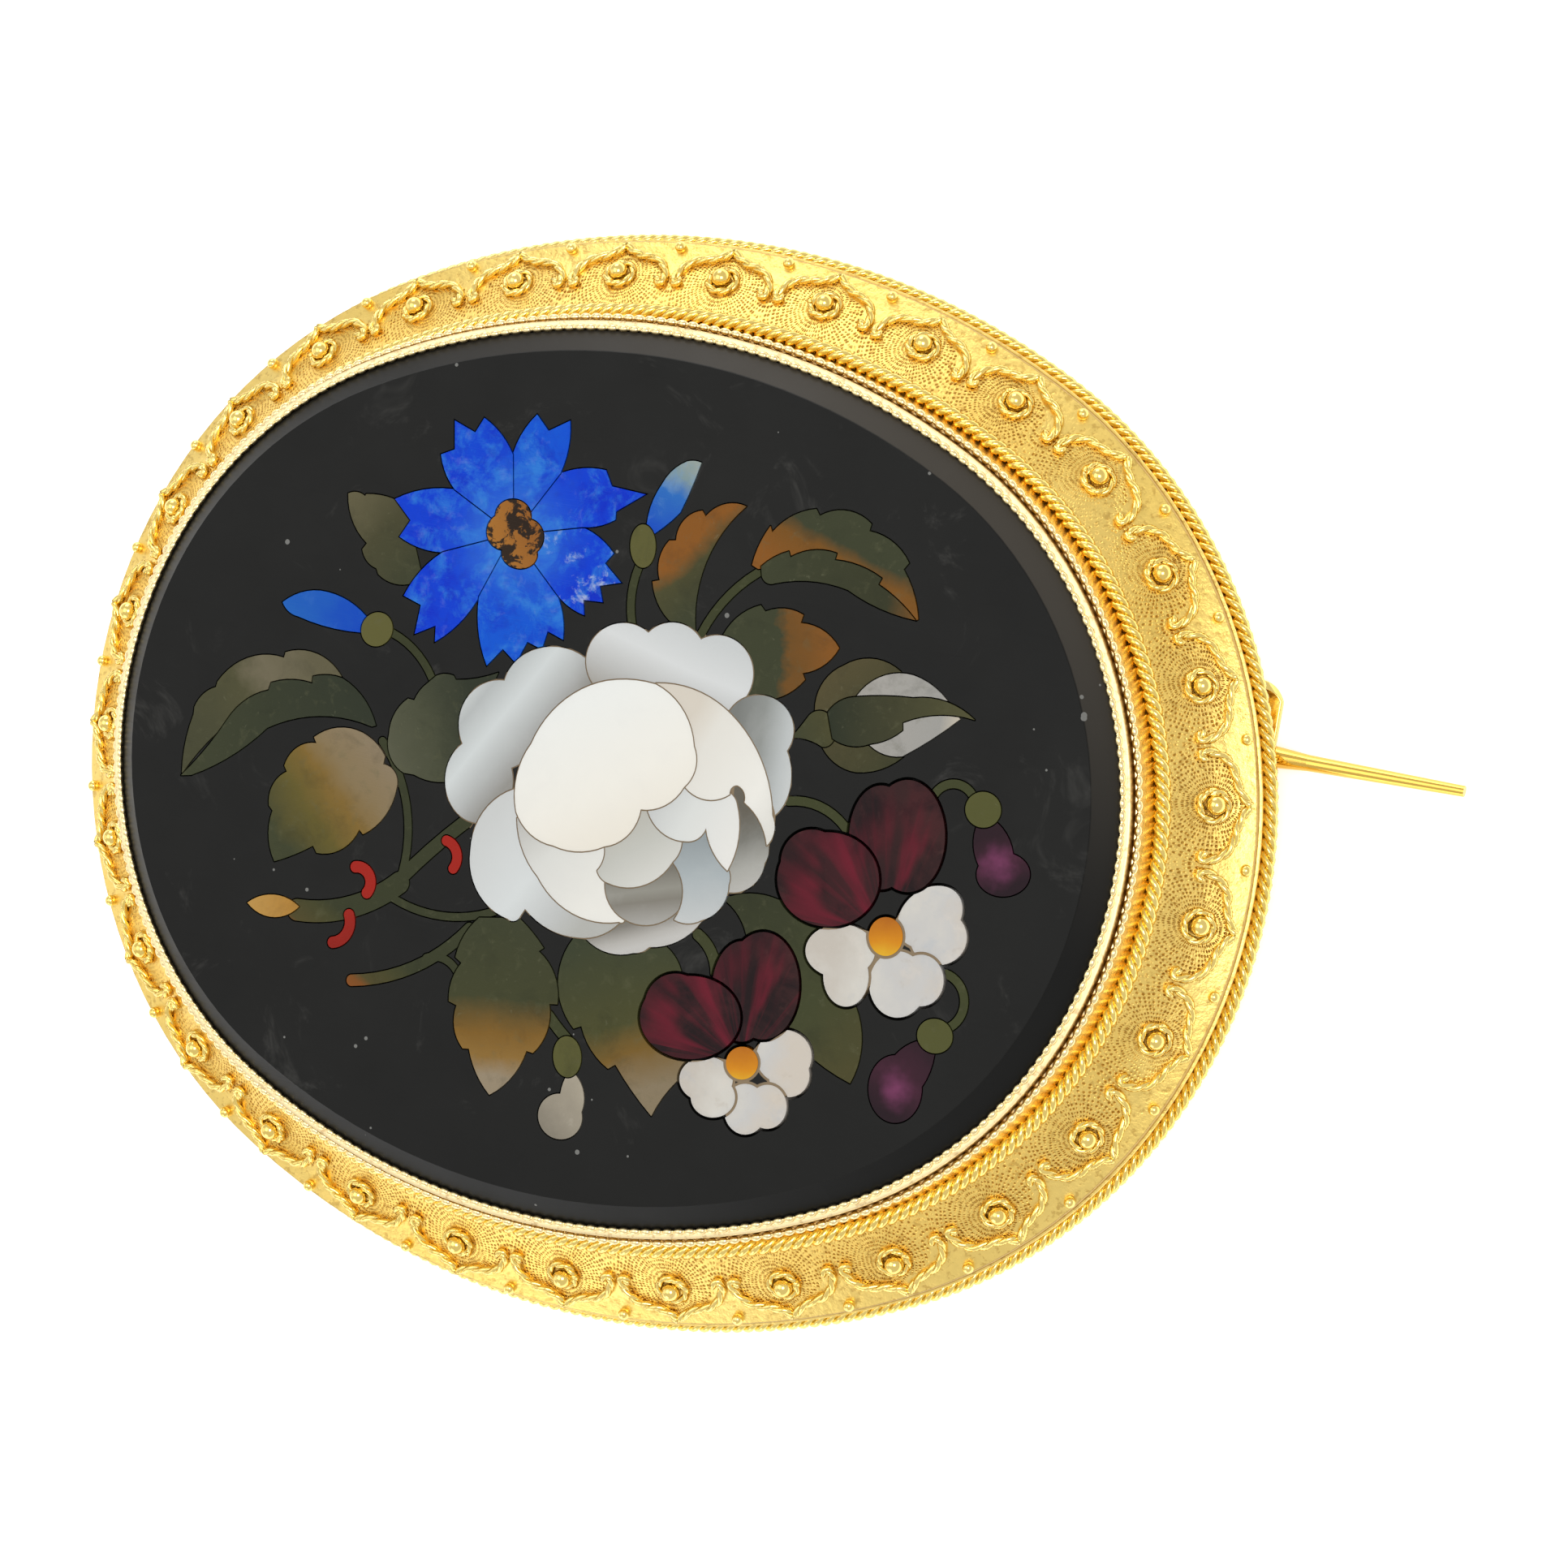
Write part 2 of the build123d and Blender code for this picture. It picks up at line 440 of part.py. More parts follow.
# Lobes of these petals, leaves and buds, a row for each, in order round the piece. Lengths are shares of the
# way from base to tip: node, group, start along, out, swell along, out, end along, out. Out is
# positive to the left of the way; two lobes that don't meet are joined by a straight step.
lobes = [
    ("rose_petal_01", 1, 0.66, 0.45, 0.79, 0.41, 0.90, 0.35),
    ("rose_petal_01", 1, 0.90, 0.35, 1.00, 0.18, 1.00, 0.00),
    ("rose_petal_01", 1, 1.00, 0.00, 0.97, -0.11, 0.89, -0.17),
    ("rose_petal_01", 1, 0.89, -0.17, 0.78, -0.22, 0.64, -0.20),
    ("rose_petal_01", 1, 0.64, -0.20, 0.55, -0.29, 0.40, -0.31),
    ("rose_petal_01", 1, 0.40, -0.31, 0.26, -0.29, 0.14, -0.22),
    ("rose_petal_01", 1, 0.14, -0.22, 0.03, -0.11, 0.00, 0.00),
    ("rose_petal_01", 1, 0.00, 0.00, 0.06, 0.17, 0.18, 0.29),
    ("rose_petal_01", 1, 0.18, 0.29, 0.40, 0.43, 0.66, 0.45),
    ("rose_petal_02", 1, 0.00, 0.00, 0.21, -0.08, 0.49, -0.01),
    ("rose_petal_02", 1, 0.49, -0.01, 0.58, 0.09, 0.59, 0.21),
    ("rose_petal_02", 1, 0.59, 0.21, 0.75, 0.08, 1.00, 0.00),
    ("rose_petal_02", 1, 1.00, 0.00, 0.91, 0.34, 0.72, 0.58),
    ("rose_petal_02", 1, 0.72, 0.58, 0.67, 0.61, 0.61, 0.62),
    ("rose_petal_02", 1, 0.61, 0.62, 0.15, 0.56, 0.00, 0.00),
    ("rose_petal_03", 1, 0.16, 0.24, 0.10, 0.08, 0.00, 0.00),
    ("rose_petal_03", 1, 0.00, 0.00, 0.02, -0.09, 0.07, -0.15),
    ("rose_petal_03", 1, 0.07, -0.15, 0.47, -0.30, 0.84, -0.17),
    ("rose_petal_03", 1, 0.84, -0.17, 0.94, -0.10, 1.00, 0.00),
    ("rose_petal_03", 1, 1.00, 0.00, 1.05, 0.21, 0.78, 0.52),
    ("rose_petal_04", 1, 0.00, 0.00, 0.17, -0.07, 0.27, -0.18),
    ("rose_petal_04", 1, 0.27, -0.18, 0.57, -0.13, 0.91, -0.33),
    ("rose_petal_04", 1, 0.91, -0.33, 0.99, -0.19, 1.00, 0.00),
    ("rose_petal_04", 1, 1.00, 0.00, 0.92, 0.27, 0.69, 0.43),
    ("rose_petal_04", 1, 0.69, 0.43, 0.60, 0.47, 0.50, 0.46),
    ("rose_petal_04", 1, 0.50, 0.46, 0.00, 0.48, 0.00, 0.00),
    ("rose_petal_05", 1, 0.00, 0.00, 0.16, 0.15, 0.37, 0.23),
    ("rose_petal_05", 1, 0.37, 0.23, 0.66, 0.22, 0.90, 0.11),
    ("rose_petal_05", 1, 0.90, 0.11, 0.97, 0.07, 1.00, 0.00),
    ("rose_petal_05", 1, 1.00, 0.00, 0.88, 0.04, 0.76, 0.03),
    ("rose_petal_05", 1, 0.76, 0.03, 0.71, 0.06, 0.67, 0.05),
    ("rose_petal_05", 1, 0.67, 0.05, 0.66, 0.02, 0.68, -0.01),
    ("rose_petal_05", 1, 0.68, -0.01, 0.63, -0.12, 0.50, -0.18),
    ("rose_petal_06", 1, 0.79, -0.01, 0.90, 0.02, 1.00, 0.00),
    ("rose_petal_06", 1, 1.00, 0.00, 0.94, 0.22, 0.72, 0.34),
    ("rose_petal_06", 1, 0.72, 0.34, 0.63, 0.37, 0.55, 0.36),
    ("rose_petal_06", 1, 0.55, 0.36, 0.16, 0.34, 0.00, 0.00),
    ("rose_petal_07", 1, 0.00, 0.00, 0.17, -0.22, 0.44, -0.31),
    ("rose_petal_07", 1, 0.44, -0.31, 0.79, -0.22, 1.00, 0.00),
    ("rose_petal_07", 1, 1.00, 0.00, 1.05, 0.36, 0.72, 0.63),
    ("rose_petal_07", 1, 0.72, 0.63, 0.39, 0.31, 0.00, 0.00),
    ("rose_petal_08", 1, 0.00, 0.00, 0.16, -0.12, 0.37, -0.18),
    ("rose_petal_08", 1, 0.37, -0.18, 0.66, -0.20, 1.00, 0.00),
    ("rose_petal_08", 1, 1.00, 0.00, 1.02, 0.03, 0.99, 0.04),
    ("rose_petal_08", 1, 0.99, 0.04, 0.85, 0.06, 0.76, 0.13),
    ("rose_petal_08", 1, 0.76, 0.13, 0.65, 0.22, 0.61, 0.40),
    ("rose_petal_09", 1, 0.00, 0.00, -0.04, -0.24, 0.07, -0.45),
    ("rose_petal_09", 1, 0.07, -0.45, 0.27, -0.57, 0.52, -0.53),
    ("rose_petal_09", 1, 0.52, -0.53, 0.56, -0.50, 0.56, -0.46),
    ("rose_petal_09", 1, 0.55, -0.41, 0.72, -0.38, 0.89, -0.27),
    ("rose_petal_09", 1, 0.89, -0.27, 0.98, -0.14, 1.00, 0.00),
    ("rose_petal_09", 1, 1.00, 0.00, 0.61, -0.10, 0.15, -0.03),
    ("rose_petal_10", 1, 0.00, 0.00, 0.18, -0.14, 0.40, -0.17),
    ("rose_petal_10", 1, 0.40, -0.17, 0.47, -0.17, 0.54, -0.14),
    ("rose_petal_10", 1, 0.54, -0.14, 0.80, -0.12, 1.00, 0.00),
    ("rose_petal_10", 1, 1.00, 0.00, 0.50, 0.13, 0.00, 0.00),
    ("rosebud_leaf", 1, 0.00, 0.08, 0.07, 0.14, 0.18, 0.17),
    ("rosebud_leaf", 1, 0.18, 0.17, 0.38, 0.17, 0.59, 0.15),
    ("rosebud_leaf", 1, 0.59, 0.15, 0.81, 0.12, 1.00, 0.00),
    ("rosebud_leaf", 1, 1.00, 0.00, 0.72, 0.04, 0.51, 0.00),
    ("rosebud_leaf", 1, 0.51, -0.05, 0.42, -0.10, 0.29, -0.13),
    ("rosebud_leaf", 1, 0.29, -0.13, 0.15, -0.14, 0.03, -0.09),
    ("rosebud_petals", 1, 0.02, 0.18, 0.33, 0.38, 0.58, 0.36),
    ("rosebud_petals", 1, 0.58, 0.36, 0.76, 0.25, 0.89, 0.10),
    ("rosebud_petals", 1, 0.98, -0.04, 0.72, -0.19, 0.44, -0.32),
    ("rosebud_petals", 1, 0.44, -0.32, 0.25, -0.28, 0.11, -0.16),
    ("rosebud_sepals", 1, 0.00, 0.00, 0.19, 0.23, 0.46, 0.30),
    ("rosebud_sepals", 1, 0.46, 0.30, 0.77, 0.24, 1.00, 0.00),
    ("rosebud_sepals", 1, 0.97, -0.04, 0.40, -0.08, 0.10, -0.07),
    ("rosebud_sepals", 2, 0.13, 0.15, 0.45, 0.19, 0.86, 0.10),
    ("rosebud_sepals", 2, 1.00, 0.00, 0.77, -0.16, 0.45, -0.24),
    ("rosebud_sepals", 2, 0.45, -0.24, 0.19, -0.17, 0.00, 0.00),
    ("rosebud_calyx", 1, -0.07, -0.14, 0.15, -0.43, 0.49, -0.38),
    ("rosebud_calyx", 1, 0.49, -0.38, 0.68, -0.23, 1.00, 0.00),
    ("rosebud_calyx", 1, 1.00, 0.00, 0.62, 0.13, 0.30, 0.37),
    ("rosebud_calyx", 1, 0.30, 0.37, 0.12, 0.37, -0.05, 0.16),
    ("leaf_left_inner", 1, 0.00, 0.00, 0.03, -0.12, 0.12, -0.24),
    ("leaf_left_inner", 1, 0.12, -0.24, 0.19, -0.27, 0.26, -0.28),
    ("leaf_left_inner", 1, 0.27, -0.25, 0.37, -0.29, 0.47, -0.30),
    ("leaf_left_inner", 1, 0.49, -0.27, 0.62, -0.25, 0.72, -0.19),
    ("leaf_left_inner", 1, 0.72, -0.19, 0.85, -0.09, 1.00, 0.00),
    ("leaf_left_inner", 1, 0.95, 0.01, 0.73, -0.03, 0.53, -0.11),
    ("leaf_left_inner", 1, 0.53, -0.11, 0.30, -0.11, 0.02, 0.00),
    ("leaf_left_outer", 1, 0.00, 0.00, 0.04, -0.13, 0.22, -0.26),
    ("leaf_left_outer", 1, 0.24, -0.24, 0.40, -0.33, 0.62, -0.31),
    ("leaf_left_outer", 1, 0.64, -0.29, 0.73, -0.29, 0.79, -0.26),
    ("leaf_left_outer", 1, 0.81, -0.23, 0.92, -0.12, 1.00, 0.00),
    ("leaf_left_outer", 1, 1.00, 0.00, 0.50, -0.11, 0.01, 0.01),
    ("leaf_beige", 1, 0.00, 0.00, 0.06, -0.27, 0.30, -0.41),
    ("leaf_beige", 1, 0.31, -0.37, 0.46, -0.44, 0.57, -0.41),
    ("leaf_beige", 1, 0.58, -0.37, 0.71, -0.37, 0.81, -0.29),
    ("leaf_beige", 1, 0.81, -0.25, 0.93, -0.15, 1.00, 0.00),
    ("leaf_beige", 1, 1.00, 0.00, 0.86, 0.06, 0.73, 0.10),
    ("leaf_beige", 1, 0.74, 0.15, 0.56, 0.25, 0.42, 0.23),
    ("leaf_beige", 1, 0.42, 0.27, 0.23, 0.28, 0.06, 0.20),
    ("leaf_beige", 1, 0.06, 0.20, 0.01, 0.11, 0.04, 0.03),
    ("leaf_round_left", 1, -0.39, -0.70, -0.14, -0.64, 0.15, -0.62),
    ("leaf_round_left", 1, 0.18, -0.67, 0.30, -0.69, 0.40, -0.67),
    ("leaf_round_left", 1, 0.52, -0.58, 0.61, -0.50, 0.68, -0.39),
    ("leaf_round_left", 1, 0.76, -0.41, 0.95, -0.20, 1.00, 0.00),
    ("leaf_round_left", 1, 1.00, 0.00, 0.98, 0.25, 0.80, 0.44),
    ("leaf_round_left", 1, 0.67, 0.46, 0.47, 0.53, 0.25, 0.54),
    ("leaf_behind_cornflower", 1, 0.07, 0.21, 0.24, 0.37, 0.42, 0.39),
    ("leaf_behind_cornflower", 1, 0.46, 0.36, 0.58, 0.35, 0.65, 0.30),
    ("leaf_behind_cornflower", 1, 0.64, 0.24, 0.83, 0.17, 1.00, 0.00),
    ("leaf_behind_cornflower", 1, 1.00, 0.00, 0.94, -0.05, 0.86, -0.06),
    ("leaf_behind_cornflower", 1, 0.86, -0.08, 0.72, -0.15, 0.51, -0.19),
    ("leaf_top", 1, 0.03, 0.25, 0.12, 0.39, 0.24, 0.48),
    ("leaf_top", 1, 0.27, 0.43, 0.40, 0.49, 0.56, 0.47),
    ("leaf_top", 1, 0.58, 0.42, 0.73, 0.42, 0.85, 0.31),
    ("leaf_top", 1, 0.82, 0.27, 0.95, 0.17, 1.00, 0.00),
    ("leaf_top", 1, 1.00, 0.00, 0.50, 0.14, 0.02, 0.02),
    ("leaf_upper_inner", 1, -0.01, 0.03, 0.06, 0.11, 0.13, 0.16),
    ("leaf_upper_inner", 1, 0.15, 0.13, 0.28, 0.21, 0.42, 0.23),
    ("leaf_upper_inner", 1, 0.42, 0.19, 0.58, 0.20, 0.73, 0.17),
    ("leaf_upper_inner", 1, 0.72, 0.13, 0.88, 0.07, 1.00, 0.00),
    ("leaf_upper_inner", 1, 1.00, 0.00, 0.80, 0.00, 0.55, 0.05),
    ("leaf_upper_inner", 1, 0.55, 0.05, 0.34, 0.04, 0.10, -0.04),
    ("leaf_upper_inner", 1, 0.10, -0.04, 0.05, -0.05, 0.01, -0.02),
    ("leaf_upper_outer", 1, -0.01, 0.01, 0.00, 0.14, 0.03, 0.24),
    ("leaf_upper_outer", 1, 0.05, 0.21, 0.13, 0.32, 0.26, 0.40),
    ("leaf_upper_outer", 1, 0.29, 0.37, 0.44, 0.44, 0.59, 0.41),
    ("leaf_upper_outer", 1, 0.59, 0.37, 0.74, 0.35, 0.86, 0.27),
    ("leaf_upper_outer", 1, 0.84, 0.23, 0.93, 0.13, 1.00, 0.00),
    ("leaf_upper_outer", 1, 0.99, -0.01, 0.78, 0.06, 0.47, 0.13),
    ("leaf_upper_outer", 1, 0.47, 0.13, 0.26, 0.08, 0.03, 0.00),
    ("leaf_round_right", 1, -0.11, 0.19, 0.03, 0.34, 0.28, 0.44),
    ("leaf_round_right", 1, 0.32, 0.38, 0.51, 0.39, 0.68, 0.32),
    ("leaf_round_right", 1, 0.65, 0.25, 0.84, 0.18, 1.00, 0.00),
    ("leaf_round_right", 1, 1.00, 0.00, 0.84, -0.14, 0.64, -0.19),
    ("leaf_round_right", 1, 0.66, -0.25, 0.46, -0.37, 0.13, -0.38),
    ("leaf_low_left", 1, 0.00, 0.14, 0.08, 0.23, 0.16, 0.30),
    ("leaf_low_left", 1, 0.18, 0.27, 0.32, 0.38, 0.47, 0.40),
    ("leaf_low_left", 1, 0.47, 0.35, 0.63, 0.34, 0.75, 0.26),
    ("leaf_low_left", 1, 0.74, 0.22, 0.86, 0.16, 1.00, 0.00),
    ("leaf_low_left", 1, 1.00, 0.00, 0.88, -0.09, 0.75, -0.14),
    ("leaf_low_left", 1, 0.75, -0.18, 0.63, -0.24, 0.51, -0.23),
    ("leaf_low_left", 1, 0.49, -0.28, 0.38, -0.27, 0.27, -0.21),
    ("leaf_low_left", 1, 0.24, -0.25, 0.15, -0.22, 0.01, -0.11),
    ("leaf_low_middle", 1, 0.13, 0.35, 0.21, 0.39, 0.28, 0.40),
    ("leaf_low_middle", 1, 0.28, 0.40, 0.53, 0.38, 0.74, 0.30),
    ("leaf_low_middle", 1, 0.74, 0.30, 0.80, 0.27, 0.85, 0.22),
    ("leaf_low_middle", 1, 0.85, 0.22, 0.91, 0.11, 1.00, 0.00),
    ("leaf_low_middle", 1, 1.00, 0.00, 0.82, -0.08, 0.67, -0.13),
    ("leaf_low_middle", 1, 0.68, -0.18, 0.55, -0.25, 0.41, -0.27),
    ("leaf_low_middle", 1, 0.41, -0.32, 0.14, -0.34, -0.07, -0.18),
    ("leaf_low_right", 1, 0.00, 0.01, 0.09, 0.15, 0.22, 0.23),
    ("leaf_low_right", 1, 0.22, 0.23, 0.44, 0.28, 0.64, 0.23),
    ("leaf_low_right", 1, 0.64, 0.23, 0.86, 0.17, 1.00, 0.00),
    ("leaf_low_right", 1, 1.00, 0.00, 0.87, -0.06, 0.73, -0.10),
    ("leaf_low_right", 1, 0.73, -0.10, 0.48, -0.11, 0.21, -0.03),
    ("leaf_low_right", 1, 0.21, -0.03, 0.11, 0.00, 0.01, -0.01),
    ("blue_bud_left", 1, 0.01, 0.01, 0.40, 0.08, 0.80, 0.08),
    ("blue_bud_left", 1, 0.80, 0.08, 0.92, 0.06, 1.00, 0.00),
    ("blue_bud_left", 1, 1.00, 0.00, 0.86, -0.13, 0.64, -0.22),
    ("blue_bud_left", 1, 0.64, -0.22, 0.36, -0.22, 0.02, -0.08),
    ("blue_bud_top", 1, 0.02, 0.03, 0.27, 0.17, 0.55, 0.22),
    ("blue_bud_top", 1, 0.55, 0.22, 0.75, 0.21, 0.91, 0.14),
    ("blue_bud_top", 1, 0.91, 0.14, 0.97, 0.07, 1.00, 0.00),
    ("blue_bud_top", 1, 1.00, 0.00, 0.72, -0.08, 0.44, -0.14),
    ("blue_bud_top", 1, 0.44, -0.14, 0.25, -0.10, 0.00, -0.01),
    ("drop_bud", 1, 0.00, 0.00, 0.50, 0.18, 1.00, 0.00),
    ("drop_bud", 1, 1.00, 0.00, 0.50, -0.28, 0.00, 0.00),
    ("purple_bud_right", 1, 0.00, 0.00, 0.50, 0.26, 1.00, 0.00),
    ("purple_bud_right", 1, 1.00, 0.00, 0.50, -0.25, 0.00, 0.00),
    ("purple_bud_left", 1, 0.00, 0.00, 0.50, 0.29, 1.00, 0.00),
    ("purple_bud_left", 1, 1.00, 0.00, 0.50, -0.17, 0.00, 0.00),
    ("branch_tip", 1, 0.00, 0.00, 0.50, 0.21, 1.00, 0.00),
    ("branch_tip", 1, 1.00, 0.00, 0.50, -0.17, 0.00, 0.00),
]

# Stems: node, group, start x, y, middle x, y, end x, y, width.
stalks = [
    ("thorns", 1, -0.437, -0.307, -0.408, -0.317, -0.405, -0.360, 0.021),
    ("thorns", 2, -0.434, -0.418, -0.431, -0.457, -0.458, -0.488, 0.021),
    ("thorns", 3, -0.261, -0.206, -0.237, -0.227, -0.238, -0.265, 0.019),
    ("branch", 1, -0.543, -0.432, -0.436, -0.401, -0.342, -0.322, 0.040),
    ("branch", 1, -0.359, -0.342, -0.290, -0.235, -0.228, -0.154, 0.025),
    ("branch", 1, -0.425, -0.012, -0.354, -0.145, -0.341, -0.311, 0.015),
    ("branch", 1, -0.368, -0.351, -0.269, -0.377, -0.136, -0.338, 0.014),
    ("branch", 1, -0.406, -0.564, -0.299, -0.515, -0.185, -0.391, 0.021),
    ("branch", 1, -0.262, -0.477, -0.229, -0.470, -0.195, -0.494, 0.014),
    ("stems", 1, -0.441, 0.235, -0.388, 0.203, -0.344, 0.147, 0.014),
    ("stems", 2, 0.029, 0.482, 0.024, 0.413, 0.035, 0.351, 0.015),
    ("stems", 3, 0.262, 0.514, 0.209, 0.446, 0.172, 0.358, 0.015),
    ("stems", 4, 0.394, 0.031, 0.467, 0.028, 0.527, -0.027, 0.016),
    ("stems", 5, 0.265, -0.298, 0.295, -0.328, 0.312, -0.375, 0.020),
    ("stems", 6, 0.662, 0.102, 0.691, 0.135, 0.737, 0.113, 0.015),
    ("stems", 7, 0.742, -0.271, 0.783, -0.318, 0.765, -0.383, 0.015),
    ("stems", 8, 0.002, -0.546, 0.025, -0.570, 0.049, -0.592, 0.020),
]

# Cornflower: its middle, the notches between petals and the tips of each petal's teeth,
# as angles and shares of the half length from the middle.
cornflower_middle = (-0.231, 0.505)
notches = [(155, 0.147), (101, 0.145), (59, 0.143), (14, 0.139), (-41, 0.142), (-111, 0.132), (-158, 0.147)]
teeth = [
    [(145, 0.211), (130, 0.243), (116, 0.222)],
    [(88, 0.221), (71, 0.232)],
    [(41, 0.216), (24, 0.272), (16, 0.206)],
    [(-1, 0.206), (-13, 0.236), (-25, 0.221), (-36, 0.208)],
    [(-52, 0.219), (-64, 0.219), (-78, 0.235), (-92, 0.244)],
    [(-119, 0.250), (-128, 0.268), (-144, 0.248)],
    [(-170, 0.233), (-186, 0.253)],
]
tooth_depth = 0.75            # height of the notch between two teeth, in tooth heights
petal_bulge = 0.07            # how far a petal's side edges swell, in edge lengths


def spot(x, y):
    return x * half_length, y * half_width


def round_piece(x, y, long_radius, short_radius, angle, margin=0.0):
    with BuildSketch(mode=Mode.PRIVATE) as face:
        with Locations(Location(spot(x, y), (0, 0, angle))):
            Ellipse(long_radius * half_length + margin, short_radius * half_length + margin)
    return face.sketch


def leaf(base_x, base_y, tip_x, tip_y, outline, margin=0.0):
    """Plan of a petal or leaf: arcs of its lobes, joined by straight steps, set out from base to tip."""
    base_point = Vector(*spot(base_x, base_y))
    way = Vector(*spot(tip_x, tip_y)) - base_point
    left = Vector(-way.Y, way.X)

    def placed(along, out):
        return base_point + way * along + left * out

    with BuildSketch(mode=Mode.PRIVATE) as face:
        with BuildLine():
            last = placed(*outline[-1][4:])
            for row in outline:
                start, swell, end = (placed(*row[place:place + 2]) for place in (0, 2, 4))
                if (start - last).length > seam / 10:
                    Line(last, start)
                else:
                    start = last
                ThreePointArc(start, swell, end)
                last = end
        make_face()
        if margin:
            offset(amount=margin)
    return face.sketch


def stalk(start_x, start_y, middle_x, middle_y, end_x, end_y, width, margin=0.0):
    with BuildSketch(mode=Mode.PRIVATE) as face:
        with BuildLine(mode=Mode.PRIVATE):
            line = ThreePointArc(spot(start_x, start_y), spot(middle_x, middle_y), spot(end_x, end_y))
        SlotArc(line, width * half_length + 2 * margin)
    return face.sketch


def cornflower_petal(number, margin=0.0):
    """Plan of one toothed petal, from the flower's middle out to its teeth."""
    middle_x, middle_y = spot(*cornflower_middle)
    rim = [notches[number]]
    for (angle, reach), following in zip(teeth[number], teeth[number][1:] + [None]):
        rim.append((angle, reach))
        if following:
            valley = (reach + following[1]) / 2 * (1 + tooth_depth) / 2
            rim.append(((angle + following[0]) / 2, valley))
    rim.append(notches[(number + 1) % len(notches)])
    points = [
        Vector(
            middle_x + reach * half_length * cos(radians(angle)),
            middle_y + reach * half_length * sin(radians(angle)),
        )
        for angle, reach in rim
    ]
    with BuildSketch(mode=Mode.PRIVATE) as face:
        with BuildLine():
            Line((middle_x, middle_y), points[0])
            for start, end in ((points[0], points[1]), (points[-2], points[-1])):
                way = end - start
                ThreePointArc(start, (start + end) / 2 + Vector(-way.Y, way.X) * petal_bulge, end)
            Polyline(points[1:-1])
            Line(points[-1], (middle_x, middle_y))
        make_face()
        if margin:
            offset(amount=margin, kind=Kind.INTERSECTION)
    return face.sketch


# Nodes of the inlay in the order of their laying, front pieces first: a piece further down is cut
# away where the ones before it lie.
laying_order = [f"rose_petal_{number:02d}" for number in (1, 5, 2, 3, 4, 7, 6, 8, 9, 10, 11, 12, 13)]
laying_order += [
    "pansy_right_eye", "pansy_right_dark_petals", "pansy_right_pale_petals",
    "pansy_low_eye", "pansy_low_dark_petals", "pansy_low_pale_petals",
    "rosebud_leaf", "rosebud_calyx", "rosebud_petals", "rosebud_sepals",
    "cornflower_centre",
]
laying_order += [f"cornflower_petal_{number + 1}" for number in range(len(teeth))]
laying_order += [
    "leaf_left_inner", "leaf_left_outer", "leaf_beige", "leaf_round_left",
    "leaf_behind_cornflower", "leaf_top", "leaf_upper_inner", "leaf_upper_outer",
    "leaf_round_right", "leaf_low_left", "leaf_low_middle", "leaf_low_right",
    "bud_calyxes", "blue_bud_left", "blue_bud_top", "purple_bud_right", "purple_bud_left",
    "drop_bud", "branch_tip", "thorns", "branch", "stems",
]

# Group the rows of the tables by node, each with the function that draws it.
recipes = {name: {} for name in laying_order}
for make, table in ((round_piece, rounds), (stalk, stalks)):
    for name, group, *sizes in table:
        recipes[name].setdefault(group, []).append((make, sizes))
for name, group, *ends in leaves:
    outline = [row[2:] for row in lobes if row[:2] == (name, group)]
    recipes[name].setdefault(group, []).append((leaf, ends + [outline]))
for number in range(len(teeth)):
    recipes[f"cornflower_petal_{number + 1}"][1] = [(cornflower_petal, [number])]


def boxes_meet(one, other):
    first, second = one.bounding_box(), other.bounding_box()
    return (
        first.min.X < second.max.X and second.min.X < first.max.X
        and first.min.Y < second.max.Y and second.min.Y < first.max.Y
    )


# Cut each piece to what shows of it: the shapes in front of it, a seam wider, are taken away.
inlay_faces = {}
laid = []
for name in laying_order:
    gap = wide_seam if name.startswith("pansy") else seam
    inlay_faces[name] = []
    for rows in recipes[name].values():
        shapes = [make(*sizes) for make, sizes in rows]
        in_front = [other for other in laid if any(boxes_meet(shape, other) for shape in shapes)]
        with BuildSketch(mode=Mode.PRIVATE) as piece:
            add(shapes)
            if in_front:
                add(in_front, mode=Mode.SUBTRACT)
        inlay_faces[name] += [face for face in piece.sketch.faces() if face.area > smallest_chip]
        laid += [make(*sizes, margin=gap) for make, sizes in rows]

with BuildPart() as stone:
    with BuildSketch(Plane.XY.offset(plate_thickness + bed_clearance)):
        add(oval())
    extrude(amount=table_height - bevel_rise - plate_thickness - bed_clearance)
    with BuildSketch(Plane.XY.offset(table_height - bevel_rise)):
        add(oval())
    with BuildSketch(Plane.XY.offset(table_height)):
        add(oval(-bevel_width))
    loft(ruled=True)
    with BuildSketch(Plane.XY.offset(table_height)):
        add(laid)
    extrude(amount=-(inlay_depth + pocket_floor), mode=Mode.SUBTRACT)
stone.part.label = "stone"
export_step(stone.part, "parts/stone.step")

for name, faces in inlay_faces.items():
    with BuildPart() as inlay:
        with BuildSketch(Plane.XY.offset(table_height)):
            add(faces)
        extrude(amount=-inlay_depth)
    inlay.part.label = name
    export_step(inlay.part, f"parts/{name}.step")
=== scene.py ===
# %% [markdown]
# # A gold brooch with a bouquet in stone
# The real brooch is an oval plaque of black stone, inlaid flush with flowers cut from coloured
# stones, and held by a gold border of rope wires, little twisted arches and balls. The solids
# come from the CAD model, packed as a frame, and this notebook dresses them. It starts with the
# frame, because every piece made here takes its place from it.

# %% Load the frame
from bisect import bisect_right
from math import atan, atan2, cos, degrees, pi, radians, sin, tau

import bmesh
import bpy
from mathutils import Matrix, Vector


